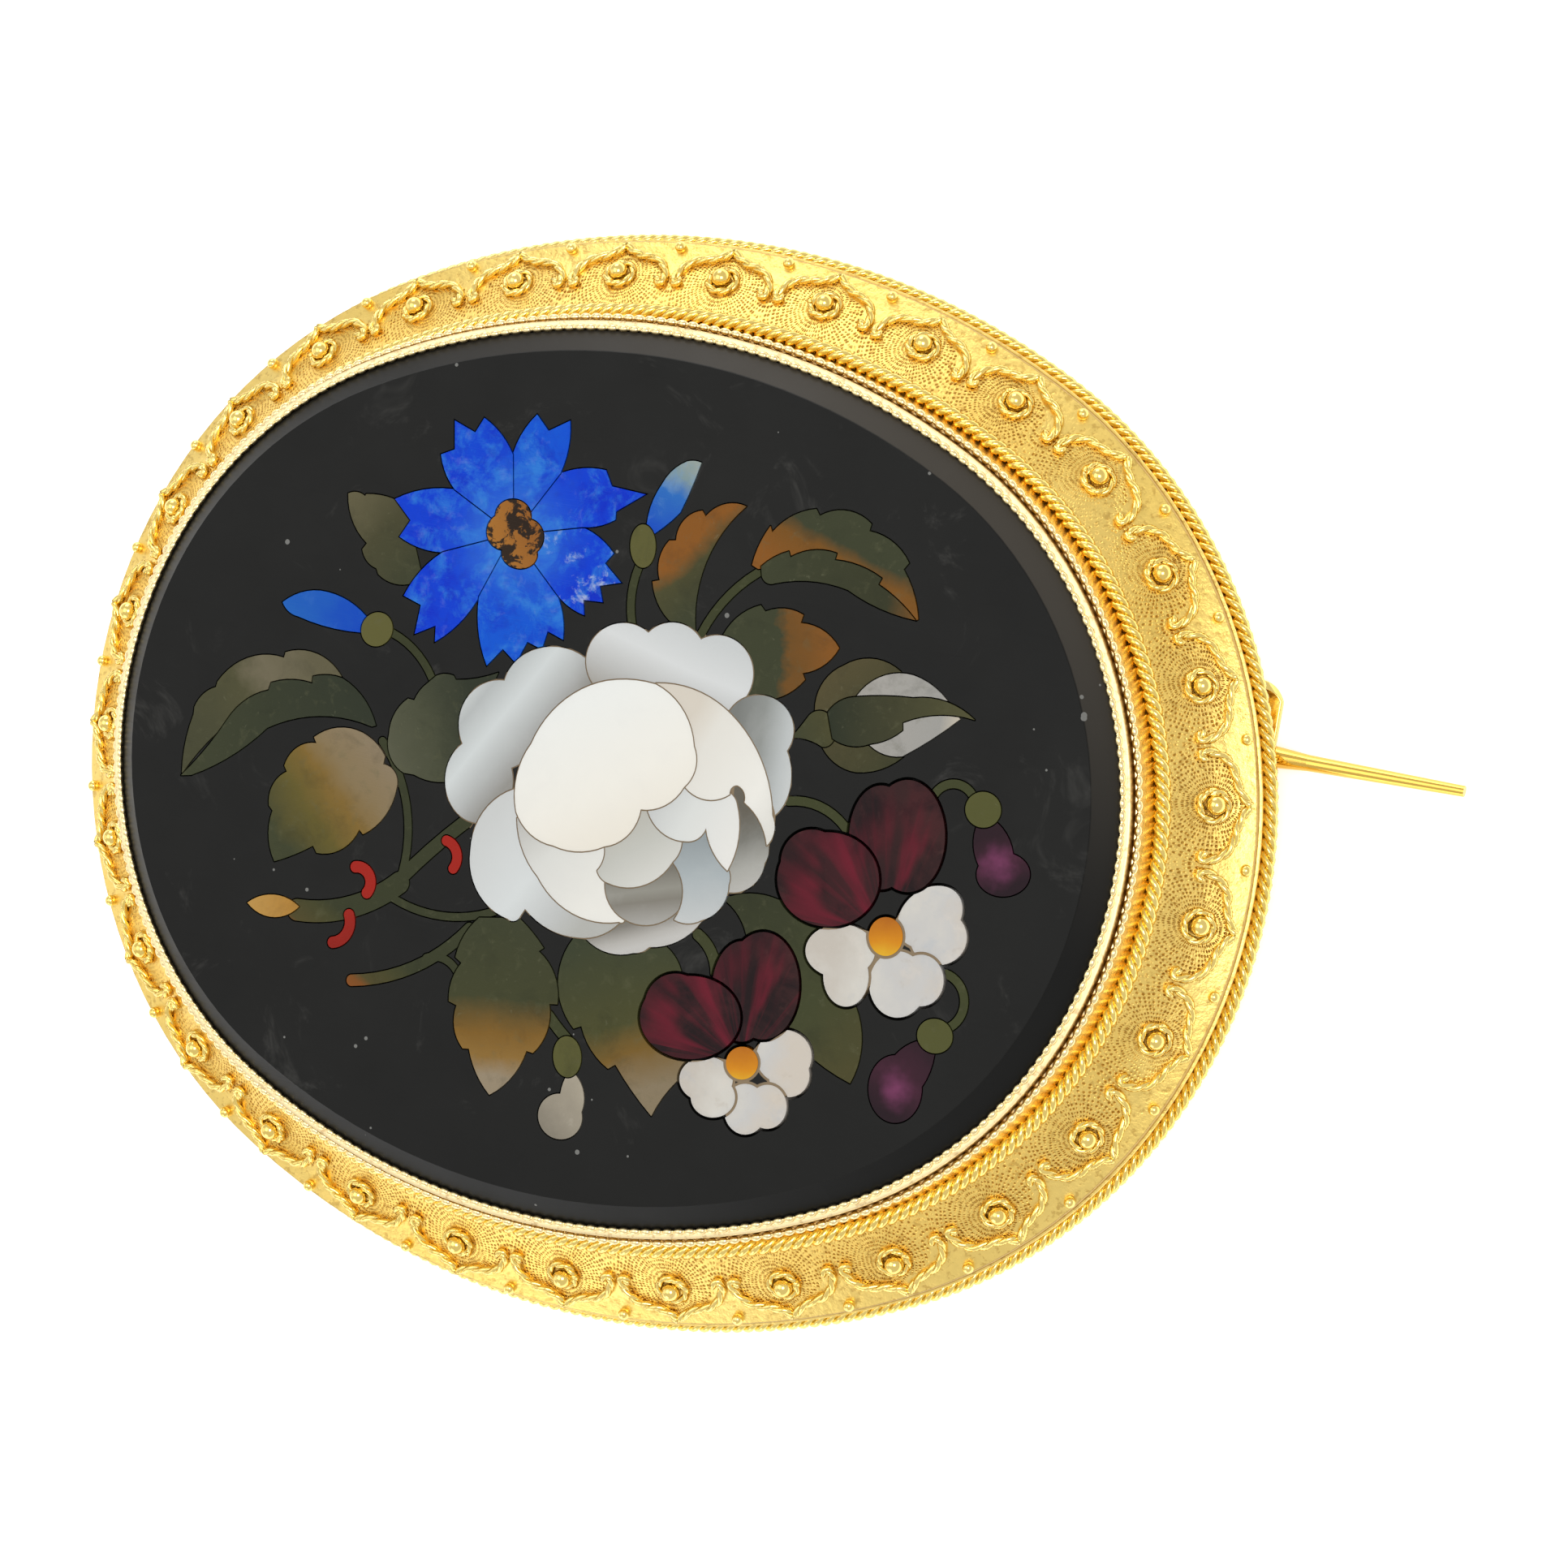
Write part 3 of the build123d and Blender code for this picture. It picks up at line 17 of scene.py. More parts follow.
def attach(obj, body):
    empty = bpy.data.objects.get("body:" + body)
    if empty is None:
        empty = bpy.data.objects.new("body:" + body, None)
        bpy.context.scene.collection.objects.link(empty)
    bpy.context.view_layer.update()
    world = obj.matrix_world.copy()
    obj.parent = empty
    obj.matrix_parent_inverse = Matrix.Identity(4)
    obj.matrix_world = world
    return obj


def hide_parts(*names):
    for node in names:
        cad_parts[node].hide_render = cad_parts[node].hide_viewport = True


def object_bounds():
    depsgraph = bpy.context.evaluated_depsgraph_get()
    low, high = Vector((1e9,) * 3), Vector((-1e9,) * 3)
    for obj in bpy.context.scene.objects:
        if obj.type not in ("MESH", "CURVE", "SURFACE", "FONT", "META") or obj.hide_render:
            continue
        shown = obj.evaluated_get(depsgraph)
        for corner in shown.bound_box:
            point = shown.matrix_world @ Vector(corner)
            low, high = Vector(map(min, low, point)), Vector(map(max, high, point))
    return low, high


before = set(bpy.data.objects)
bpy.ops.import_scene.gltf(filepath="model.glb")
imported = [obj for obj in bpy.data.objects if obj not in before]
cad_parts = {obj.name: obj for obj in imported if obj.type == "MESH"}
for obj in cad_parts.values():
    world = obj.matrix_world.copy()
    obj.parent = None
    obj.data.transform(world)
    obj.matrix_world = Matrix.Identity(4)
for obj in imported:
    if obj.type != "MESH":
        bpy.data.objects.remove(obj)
cad_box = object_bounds()
MM = 0.001
print("nodes in the frame:", len(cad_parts))

# %% [markdown]
# ## Camera, floor and light
# The photograph looks down on the brooch from its right, where the border is near and sharp.
# The brooch lies on its catch and hinge on a pale sheet. A pale floor and large soft lamps make
# the white ground, and give the gold something bright to mirror without hard spots.

# %% Camera
PICTURE_SIDE = 1932
FOCAL_PIXELS = 5415
SENSOR = 36.0

camera_data = bpy.data.cameras.new("camera")
camera_data.sensor_width = SENSOR
camera_data.lens = FOCAL_PIXELS / PICTURE_SIDE * SENSOR
camera_data.clip_start, camera_data.clip_end = 0.005, 10.0
camera = bpy.data.objects.new("camera", camera_data)
bpy.context.collection.objects.link(camera)
right_way = Vector((0.9049, 0.1698, -0.3902))
up_way = Vector((-0.1749, 0.9843, 0.0227))
back_way = Vector((0.3879, 0.0477, 0.9204))
camera_place = Vector((71.27, 8.90, 156.64)) * MM
turn = Matrix((right_way, up_way, back_way)).transposed().to_4x4()
camera.matrix_world = Matrix.Translation(camera_place) @ turn
bpy.context.scene.camera = camera
bpy.context.scene.view_settings.view_transform = "Standard"

# %% Floor
floor_height = cad_box[0].z - 0.02 * MM
FLOOR_REACH = 1.2

floor_mesh = bpy.data.meshes.new("floor")
floor_bm = bmesh.new()
bmesh.ops.create_grid(floor_bm, x_segments=4, y_segments=4, size=FLOOR_REACH)
bmesh.ops.translate(floor_bm, vec=(0, 0, floor_height), verts=floor_bm.verts)
floor_bm.to_mesh(floor_mesh)
floor_bm.free()
floor = bpy.data.objects.new("floor", floor_mesh)
bpy.context.collection.objects.link(floor)
paper = bpy.data.materials.new("pale_paper")
paper.use_nodes = True
paper_shader = paper.node_tree.nodes["Principled BSDF"]
paper_shader.inputs["Base Color"].default_value = (0.93, 0.93, 0.93, 1)
paper_shader.inputs["Roughness"].default_value = 0.9
paper_shader.inputs["Specular IOR Level"].default_value = 0.1
paper_shader.inputs["Emission Color"].default_value = (1, 1, 1, 1)
paper_shader.inputs["Emission Strength"].default_value = 0.40
floor_mesh.materials.append(paper)


# %% Light
def lamp(name, place, size, power):
    """A square soft lamp at a place in millimetres, turned to the brooch."""
    data = bpy.data.lights.new(name, "AREA")
    data.size = size * MM
    data.energy = power
    made = bpy.data.objects.new(name, data)
    bpy.context.collection.objects.link(made)
    made.location = Vector(place) * MM
    made.rotation_euler = (-Vector(place)).to_track_quat("-Z", "Y").to_euler()


# Name, place and side in millimetres, power in watts.
lamp_rows = [
    ("sky_box", (-110, 20, 290), 220, 0.18),
    ("side_box", (-330, -60, 150), 200, 0.06),
    ("front_box", (-130, -340, 95), 180, 0.16),
    ("back_box", (-120, 350, 120), 200, 0.34),
    ("lens_box", (150, 18, 330), 150, 0.42),
]
for lamp_row in lamp_rows:
    lamp(*lamp_row)
world = bpy.data.worlds.new("studio")
world.use_nodes = True
studio = world.node_tree.nodes["Background"]
studio.inputs["Color"].default_value = (1.0, 1.0, 1.0, 1)
studio.inputs["Strength"].default_value = 0.74
bpy.context.scene.world = world

# %% [markdown]
# ## The oval and the border's slope
# Everything gold follows one oval of four tangent arcs. A place on the brooch is given by how
# far round the oval it lies and how far out from the stone's opening, so that a row of thirty
# rosettes or a rope of four hundred strands is one loop. The numbers are those of the CAD source.

# %% The oval
half_length, half_width, end_fullness = 21.0, 16.9, 0.923
end_radius = end_fullness * half_width
end_centre = half_length - end_radius
side_radius = (end_centre**2 + half_width**2 - end_radius**2) / (2 * (half_width - end_radius))
side_centre = side_radius - half_width
joint_angle = degrees(atan2(side_centre, end_centre))
oval_arcs = [
    (end_centre, 0, end_radius, -joint_angle, 2 * joint_angle),
    (0, -side_centre, side_radius, joint_angle, 180 - 2 * joint_angle),
    (-end_centre, 0, end_radius, 180 - joint_angle, 2 * joint_angle),
    (0, side_centre, side_radius, 180 + joint_angle, 180 - 2 * joint_angle),
]


def arc_lengths(offset):
    return [radians(swept) * (radius + offset) for _, _, radius, _, swept in oval_arcs]


def on_oval(share, offset, track=None):
    """Point beside the oval and its outward direction, a share of the way round from +X."""
    lengths = arc_lengths(offset if track is None else track)
    along = (share * sum(lengths) + lengths[0] / 2) % sum(lengths)
    for (x, y, radius, start, swept), length in zip(oval_arcs, lengths):
        if along <= length:
            break
        along -= length
    angle = radians(start + swept * along / length)
    outward = Vector((cos(angle), sin(angle), 0))
    return Vector((x, y, 0)) + outward * (radius + offset), outward


def from_oval(point):
    """Share of the way round and offset outward of a point, the other way about."""
    x, y = point.x, point.y
    lengths = arc_lengths(0)
    best = None
    travelled = -lengths[0] / 2
    for (cx, cy, radius, start, swept), length in zip(oval_arcs, lengths):
        angle = (degrees(atan2(y - cy, x - cx)) - start) % 360
        if angle > swept + (360 - swept) / 2:
            angle -= 360
        miss = max(0, -angle, angle - swept)
        if best is None or miss < best[0]:
            reach = Vector((x - cx, y - cy)).length
            best = (miss, (travelled + length * angle / swept) / sum(lengths), reach - radius)
        travelled += length
    return best[1] % 1.0, best[2]


border_width, border_height = 4.4, 3.55
rosette_count, rosette_across, rosette_turn = 30, 0.57, 0.0183
spacing_drift, drift_direction = 0.006, 33.0
border_slope = [(0.260, 1.000), (0.410, 0.840), (0.570, 0.690), (0.730, 0.575), (0.893, 0.479)]
slope_rows = [(across * border_width, up * border_height) for across, up in border_slope]


def ornament_share(step):
    """Share of the way round of a rosette; hand spacing crowds them to one side."""
    way = rosette_turn + step / rosette_count
    return way + spacing_drift * cos(2 * pi * way + radians(drift_direction))


def slope_at(offset):
    """Height of the sloping border and its fall, at an offset from the opening."""
    for (near, high), (far, low) in zip(slope_rows, slope_rows[1:]):
        if offset <= far:
            break
    fall = (high - low) / (far - near)
    return high - fall * (offset - near), atan(fall)


def on_slope(step, offset, lift=0.0):
    """Point on the border's slope and the slope's own upward direction there."""
    point, outward = on_oval(ornament_share(step), offset, rosette_across * border_width)
    height, fall = slope_at(offset)
    up = outward * sin(fall) + Vector((0, 0, cos(fall)))
    return point + Vector((0, 0, height)) + up * lift, up


print("outer rope runs", round(sum(arc_lengths(4.1)), 1), "mm")


# %% [markdown]
# ## From a bmesh to a piece
# Every new piece goes the same way: a bmesh in millimetres is scaled to metres, its normals are
# made to face out, and the object rides on the brooch's body; a gold piece joins the list that
# is given the gold finishes.

# %% Make a piece
gold_pieces = []


def piece(bm, name, slot="gold", body="brooch", smooth=True, face_out=True):
    if face_out:
        bmesh.ops.recalc_face_normals(bm, faces=bm.faces)
    bmesh.ops.scale(bm, vec=(MM, MM, MM), verts=bm.verts)
    mesh = bpy.data.meshes.new(name)
    bm.to_mesh(mesh)
    bm.free()
    for face in mesh.polygons:
        face.use_smooth = smooth
    made = bpy.data.objects.new(name, mesh)
    bpy.context.collection.objects.link(made)
    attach(made, body)
    if slot == "gold":
        gold_pieces.append(made)
    print(name, len(mesh.polygons), "faces")
    return made


def sharpen(made, angle=38):
    """Keep the creases of a smooth mesh crisp."""
    mesh = made.data
    bm = bmesh.new()
    bm.from_mesh(mesh)
    for edge in bm.edges:
        if len(edge.link_faces) == 2 and edge.calc_face_angle(0) > radians(angle):
            edge.smooth = False
    bm.to_mesh(mesh)
    bm.free()


# %% [markdown]
# ## The border and the collet
# The border is sheet gold: a collet wall round the stone, a cove, and a broad slope that ends
# in a small step. Turning one section round the four arcs is the way a goldsmith draws it too.
# The section has more points than the CAD one, for the groove between the beaded wires, and its
# UV map counts the rosettes along the border and the millimetres across it.

# %% Sweep a section round the oval
ARC_STEPS = {0: 44, 1: 22, 2: 44, 3: 22}


def close_ends(bm):
    bmesh.ops.holes_fill(bm, edges=[edge for edge in bm.edges if len(edge.link_faces) == 1], sides=0)


def sweep_round(bm, section, closed=False):
    """Spin a section of (offset, height) points round the four arcs."""
    for number, (x, y, radius, start, swept) in enumerate(oval_arcs):
        angle = radians(start)
        ring = [
            bm.verts.new((x + (radius + offset) * cos(angle), y + (radius + offset) * sin(angle), height))
            for offset, height in section
        ]
        edges = [bm.edges.new(pair) for pair in zip(ring, ring[1:] + ring[:1] if closed else ring[1:])]
        bmesh.ops.spin(
            bm, geom=ring + edges, cent=(x, y, 0), axis=(0, 0, 1), dvec=(0, 0, 0),
            angle=radians(swept), steps=ARC_STEPS[number], use_merge=False, use_duplicate=False,
        )
    bmesh.ops.remove_doubles(bm, verts=bm.verts, dist=0.002)


def ornament_step(share):
    """Which rosette a share of the way round belongs to, with a fraction: the other way about."""
    way = share
    for _ in range(6):
        way = share - spacing_drift * cos(2 * pi * way + radians(drift_direction))
    return (way - rosette_turn) * rosette_count


def lay_uv(bm):
    """UV of the border: rosettes counted along it and millimetres outward across it."""
    layer = bm.loops.layers.uv.new("UVMap")
    known = {vert: from_oval(vert.co) for vert in bm.verts}
    for face in bm.faces:
        middle, _ = from_oval(face.calc_center_median())
        for loop in face.loops:
            share, offset = known[loop.vert]
            share += round(middle - share)
            loop[layer].uv = (ornament_step(share), offset)


collet_section = [
    (0.05, 0.60), (0.05, 5.70), (0.30, 5.72), (0.38, 5.70), (0.40, 5.64), (0.405, 5.40),
    (0.415, 5.16), (0.45, 5.14), (0.63, 5.12), (0.65, 5.00), (0.665, 4.60), (0.68, 4.20),
    (0.70, 3.92), (0.74, 3.76), (0.82, 3.70),
]
step_section = [
    (3.945, 1.66), (3.952, 1.50), (3.97, 1.452), (4.04, 1.425), (4.048, 1.41), (4.048, 1.30),
    (3.93, 1.17), (3.90, 1.14), (3.90, 0.04), (3.86, 0.0),
]
slope_section = [(1.144, 3.55)]
for (near, high), (far, low) in zip(slope_rows, slope_rows[1:]):
    for part in (1, 2, 3):
        slope_section.append((near + (far - near) * part / 3, high + (low - high) * part / 3))
border_bm = bmesh.new()
sweep_round(border_bm, collet_section + slope_section + step_section)
close_ends(border_bm)
lay_uv(border_bm)
border = piece(border_bm, "gold_border")
sharpen(border, 30)
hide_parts("gold_frame")


# %% [markdown]
# ## Twisted wire
# The ropes are three round wires twisted together, and the arches two. A circle spun about an
# axis with a shift at each step is exactly one strand, so that the spin operator makes the twist,
# and the straight length is then bent along its path. The circle leans with the twist to stay
# round.

# %% One length of twisted wire
def finished_mesh(made):
    """The mesh of an object with its modifiers applied; the object itself is thrown away."""
    bpy.context.view_layer.update()
    shaped = made.evaluated_get(bpy.context.evaluated_depsgraph_get())
    mesh = bpy.data.meshes.new_from_object(shaped)
    bpy.data.objects.remove(made)
    return mesh


def edges_of(made):
    """The edges of what a bmesh operator has just made."""
    return {edge for vert in made["verts"] for edge in vert.link_edges}


def straight_wire(length, radius, twists, strands=2, sides=8, steps=12, fill=0.54, capped=False):
    """Twisted wire along X: one twist is spun, then arrayed. Fill is a strand's share of the radius."""
    strand = radius * fill
    reach = radius - strand
    pitch = length / twists
    lean = atan(tau * reach / pitch)
    bm = bmesh.new()
    for number in range(strands):
        start = Matrix.Rotation(tau * number / strands, 4, "X")
        start @= Matrix.Translation((0, 0, reach)) @ Matrix.Rotation(lean, 4, "Z")
        start @= Matrix.Rotation(radians(90), 4, "Y")
        circle = bmesh.ops.create_circle(
            bm, cap_ends=False, radius=strand, segments=sides, matrix=start,
        )
        bmesh.ops.spin(
            bm, geom=circle["verts"] + list(edges_of(circle)), cent=(0, 0, 0), axis=(1, 0, 0),
            dvec=(pitch / steps, 0, 0), angle=-tau, steps=steps, use_merge=False, use_duplicate=False,
        )
    mesh = bpy.data.meshes.new("one_twist")
    bm.to_mesh(mesh)
    bm.free()
    made = bpy.data.objects.new("one_twist", mesh)
    bpy.context.collection.objects.link(made)
    row = made.modifiers.new("row", "ARRAY")
    row.count = twists
    row.use_relative_offset = False
    row.use_constant_offset = True
    row.constant_offset_displace = (pitch, 0, 0)
    row.use_merge_vertices = True
    row.merge_threshold = radius * 0.02
    mesh = finished_mesh(made)
    if capped:
        bm = bmesh.new()
        bm.from_mesh(mesh)
        close_ends(bm)
        bm.to_mesh(mesh)
        bm.free()
    return mesh


class Path:
    """A line of points with an upward direction at each, read by distance."""

    def __init__(self, points, ups, closed=False):
        if closed:
            points, ups = points + points[:1], ups + ups[:1]
        self.points, self.ups = points, ups
        self.marks = [0.0]
        for one, two in zip(points, points[1:]):
            self.marks.append(self.marks[-1] + (two - one).length)
        self.length = self.marks[-1]
        self.closed = closed

    def at(self, distance):
        if self.closed:
            distance %= self.length
        distance = min(max(distance, 0.0), self.length)
        place = min(bisect_right(self.marks, distance) - 1, len(self.points) - 2)
        share = (distance - self.marks[place]) / (self.marks[place + 1] - self.marks[place])
        point = self.points[place].lerp(self.points[place + 1], share)
        up = self.ups[place].lerp(self.ups[place + 1], share).normalized()
        return point, up

    def frame(self, distance):
        point, up = self.at(distance)
        ahead = self.at(distance + 0.02)[0] - self.at(distance - 0.02)[0]
        side = up.cross(ahead).normalized()
        return point, side, ahead.cross(side).normalized()


def lay_wire(bm, wire, path):
    """Add a straight wire to the bmesh, bent along a path: X is the distance, Y the side, Z up."""
    laid = len(bm.verts)
    bm.from_mesh(wire)
    bm.verts.ensure_lookup_table()
    longest = max(vert.co.x for vert in bm.verts[laid:])
    stretch = 1.0 if path.closed else path.length / longest
    for vert in bm.verts[laid:]:
        point, side, up = path.frame(vert.co.x * stretch)
        vert.co = point + side * vert.co.y + up * vert.co.z


def oval_path(offset, height, count=720):
    points = [on_oval(step / count, offset)[0] + Vector((0, 0, height)) for step in range(count)]
    return Path(points, [Vector((0, 0, 1))] * count, closed=True)


# %% [markdown]
# ## Ropes round the border
# A thick rope lies between the collet's cove and the slope, and a finer one runs round the foot
# of the border. Both are whole numbers of twists, so that their two ends meet without a seam.

# %% Ropes
def rope(name, offset, height, radius, strand_pitch, strands=3):
    path = oval_path(offset, height)
    twists = round(path.length / (strands * strand_pitch))
    bm = bmesh.new()
    lay_wire(bm, straight_wire(path.length, radius, twists, strands, steps=15, fill=0.475), path)
    bmesh.ops.remove_doubles(bm, verts=bm.verts, dist=0.004)
    return piece(bm, name)


# Name, offset and height of the middle, radius, and how far one strand is from the next.
rope("inner_rope", 0.98, 3.74, 0.33, 0.45)
rope("outer_rope", 4.085, 0.45, 0.302, 0.465)


# %% [markdown]
# ## Beaded wires
# Two wires of little round beads hold the stone's edge, one on top of the collet and one on the
# ledge outside it. Each bead is an icosphere of 80 faces, a little longer than it is wide, on a
# thin core that closes the chinks between them.

# %% Beads
def beaded_wire(name, offset, height, radius, pitch, thick=0.50):
    path = oval_path(offset, height)
    count = round(path.length / pitch)
    bm = bmesh.new()
    for number in range(count):
        point, side, up = path.frame(path.length * number / count)
        turned = Matrix((side.cross(up), side, up)).transposed().to_4x4()
        place = Matrix.Translation(point) @ turned @ Matrix.Diagonal((pitch * 0.52, radius, radius, 1))
        bmesh.ops.create_icosphere(bm, subdivisions=2, radius=1.0, matrix=place)
    core = [
        (offset + radius * thick * cos(tau * step / 8), height + radius * thick * sin(tau * step / 8))
        for step in range(8)
    ]
    sweep_round(bm, core, closed=True)
    return piece(bm, name)


# Name, offset and height of the middle, radius, and how far one bead is from the next.
beaded_wire("upper_beads", 0.11, 5.74, 0.145, 0.455)
beaded_wire("lower_beads", 0.575, 5.20, 0.155, 0.455)


# %% [markdown]
# ## Arches of twisted wire
# Over each rosette stands a small pointed arch of twisted wire, an ogee with shoulders. Half of
# one arch is a short table of places, as shares of the rosettes' pitch and millimetres from the
# opening, and each arch is a little different, because they were bent by hand.

# %% Arches
arch_points = [
    (-0.375, 2.34), (-0.425, 2.18), (-0.455, 2.30), (-0.435, 2.62), (-0.385, 2.95),
    (-0.290, 3.20), (-0.160, 3.32), (-0.060, 3.52), (0.000, 3.78),
]
ARCH_RADIUS = 0.19
ARCH_LIFT = 0.12


def smooth_line(points, count=6):
    """Points of a smooth line through the given ones."""
    made = []
    padded = [points[0]] + points + [points[-1]]
    for before, one, two, after in zip(padded, padded[1:], padded[2:], padded[3:]):
        for step in range(count):
            t = step / count
            made.append(tuple(
                0.5 * (2 * b + (c - a) * t + (2 * a - 5 * b + 4 * c - d) * t * t
                       + (3 * b - a - 3 * c + d) * t**3)
                for a, b, c, d in zip(before, one, two, after)
            ))
    return made + [points[-1]]


def unevenness(number, kind):
    """A small steady wander from piece to piece, between -1 and 1."""
    return sin(number * 12.9898 + kind * 78.233) * cos(number * 4.1414 + kind * 3.7)


half_wire = straight_wire(2.9, ARCH_RADIUS, 3, steps=14, fill=0.66, capped=True)
arches_bm = bmesh.new()
for number in range(rosette_count):
    for side in (-1, 1):
        drift = 1 + 0.012 * unevenness(number * 2 + side, 1)
        places = [
            on_slope(number - share * drift * side, offset + 0.05 * unevenness(number, 2), ARCH_LIFT)
            for share, offset in smooth_line(arch_points)
        ]
        lay_wire(arches_bm, half_wire, Path([point for point, _ in places], [up for _, up in places]))
piece(arches_bm, "wire_arches")


# %% [markdown]
# ## Rosettes
# Each rosette is a ball set in a curl of twisted wire. The curl is not quite a ring: its tail
# runs in under the ball, as wire does that was wound round a pin.

# %% Coils, balls and grains
def rosette_frame(number):
    point, up = on_slope(number, rosette_across * border_width)
    _, outward = on_oval(ornament_share(number), 0)
    side = up.cross(outward).normalized()
    return point, side, side.cross(up).normalized(), up


CURL_REACH, CURL_TAIL, CURL_TURNS, CURL_STEPS = 0.56, 0.80, 1.14, 30
BALL_RADIUS, BALL_LIFT, GRAIN_RADIUS, GRAIN_OFFSET, GRAIN_LIFT = 0.37, 0.25, 0.225, 3.70, 0.10
curl_wire = straight_wire(3.7, 0.165, 4, steps=12, fill=0.66, capped=True)
coils_bm = bmesh.new()
balls_bm = bmesh.new()
for number in range(rosette_count):
    point, side, out, up = rosette_frame(number)
    begin = 1.3 * unevenness(number, 3) - 0.6
    curl = []
    for step in range(CURL_STEPS + 1):
        turned = begin + tau * CURL_TURNS * step / CURL_STEPS
        reach = CURL_REACH - 0.10 * max(0.0, step / CURL_STEPS - CURL_TAIL) / 0.20
        height = 0.10 + 0.06 * max(0.0, 0.12 - step / CURL_STEPS) / 0.12
        curl.append(point + (side * cos(turned) + out * sin(turned)) * reach + up * height)
    lay_wire(coils_bm, curl_wire, Path(curl, [up] * len(curl)))
    size = BALL_RADIUS + 0.014 * unevenness(number, 4)
    shift = (side * unevenness(number, 5) + out * unevenness(number, 6)) * 0.03
    bmesh.ops.create_icosphere(
        balls_bm, subdivisions=3, radius=size, matrix=Matrix.Translation(point + shift + up * BALL_LIFT),
    )
piece(coils_bm, "rosette_coils")

for number in range(rosette_count):
    place, up = on_slope(number + 0.5 + 0.03 * unevenness(number, 7), GRAIN_OFFSET, GRAIN_LIFT)
    bmesh.ops.create_icosphere(
        balls_bm, subdivisions=3, radius=GRAIN_RADIUS, matrix=Matrix.Translation(place),
    )
piece(balls_bm, "rosette_balls")

# %% [markdown]
# ## Hinge and catch
# The back is plain: two knuckles on soldered lugs carry the pin's rivet, and a bent strip makes
# the catch. They keep the CAD's sizes, with softened edges so that they catch the light.

# %% Hinge knuckles and rivet
PIN_ROW, PIN_HEIGHT, PIN_RADIUS, HINGE_PLACE = 5.2, -0.60, 0.42, -22.5
KNUCKLE_RADIUS, KNUCKLE_LENGTH, KNUCKLE_ASIDE = 0.70, 1.6, 1.68
LUG, LUG_HEIGHT, LUG_EDGE = (1.36, 1.56, 0.65), -0.275, 0.08
RIVET_RADIUS, RIVET_LENGTH = 0.20, 1.9


def soften(bm, edges, offset):
    bmesh.ops.bevel(bm, geom=edges, offset=offset, segments=2, profile=0.5, affect="EDGES", material=-1)


def rod(bm, radius, length, middle, segments=32):
    """A round bar along Y with softened rims."""
    place = Matrix.Translation(middle) @ Matrix.Rotation(radians(90), 4, "X")
    made = bmesh.ops.create_cone(
        bm, cap_ends=True, segments=segments, radius1=radius, radius2=radius, depth=length, matrix=place,
    )
    rims = [edge for edge in edges_of(made) if any(len(face.verts) > 4 for face in edge.link_faces)]
    soften(bm, rims, radius * 0.09)


hinge_bm = bmesh.new()
for side in (-1, 1):
    row = PIN_ROW + side * KNUCKLE_ASIDE
    rod(hinge_bm, KNUCKLE_RADIUS, KNUCKLE_LENGTH, (HINGE_PLACE, row, PIN_HEIGHT))
    lug = bmesh.ops.create_cube(
        hinge_bm, size=1.0,
        matrix=Matrix.Translation((HINGE_PLACE, row, LUG_HEIGHT)) @ Matrix.Diagonal((*LUG, 1)),
    )
    upright = [edge for edge in edges_of(lug) if abs(edge.verts[0].co.z - edge.verts[1].co.z) > 0.1]
    soften(hinge_bm, upright, LUG_EDGE)
rod(hinge_bm, RIVET_RADIUS, RIVET_LENGTH, (HINGE_PLACE, PIN_ROW, PIN_HEIGHT), segments=20)
hinge = piece(hinge_bm, "hinge_lugs")
sharpen(hinge)

# %% Catch
catch_bm = bmesh.new()
STRIP, STRIP_ROOM, CATCH_REACH, CATCH_LIP = 0.33, 0.004, 2.6, 1.15
STRIP_BEGIN, STRIP_SHORT, STRIP_ROUND, ROUNDNESS = 22.02, 1.15, 1.11, 2.4
HOOK_ROOM, CORNER_STEPS = 0.09, 9
hook_inner = -PIN_HEIGHT + PIN_RADIUS + HOOK_ROOM
bend_radius = hook_inner / 2
middle_line = hook_inner + STRIP / 2
line = [(PIN_ROW + CATCH_REACH, 0.04)]
bends = [(1, CATCH_REACH, range(CORNER_STEPS + 1)), (-1, -CATCH_LIP, range(CORNER_STEPS, -1, -1))]
for side, reach, steps in bends:
    for step in steps:
        turned = radians(90) * step / CORNER_STEPS
        line.append((
            PIN_ROW + reach - side * bend_radius * (1 - cos(turned)),
            bend_radius * (1 - sin(turned)) - middle_line,
        ))
line.append((PIN_ROW - CATCH_LIP, PIN_HEIGHT))
strip_verts = [catch_bm.verts.new((STRIP_BEGIN, y, z)) for y, z in line]
strip_edges = [catch_bm.edges.new(pair) for pair in zip(strip_verts, strip_verts[1:])]
swept = bmesh.ops.extrude_edge_only(catch_bm, edges=strip_edges)
moved = [item for item in swept["geom"] if isinstance(item, bmesh.types.BMVert)]
catch_middle = PIN_ROW + (CATCH_REACH - CATCH_LIP) / 2
half_catch = (CATCH_REACH + CATCH_LIP) / 2
for vert in moved:
    rounded = max(0.0, 1 - abs((vert.co.y - catch_middle) / half_catch) ** ROUNDNESS) ** (1 / ROUNDNESS)
    vert.co.x += STRIP_SHORT + STRIP_ROUND * rounded
catch = piece(catch_bm, "catch")
catch_wall = catch.modifiers.new("strip", "SOLIDIFY")
catch_wall.thickness = (STRIP - STRIP_ROOM) * MM
catch_wall.offset = 0
catch_wall.use_even_offset = True
catch_edge = catch.modifiers.new("soft_edge", "BEVEL")
catch_edge.width = 0.05 * MM
catch_edge.segments = 2
catch_edge.limit_method = "ANGLE"
catch_edge.angle_limit = radians(50)
print("catch box", [tuple(round(v / MM, 2) for v in corner) for corner in catch.bound_box][::6])

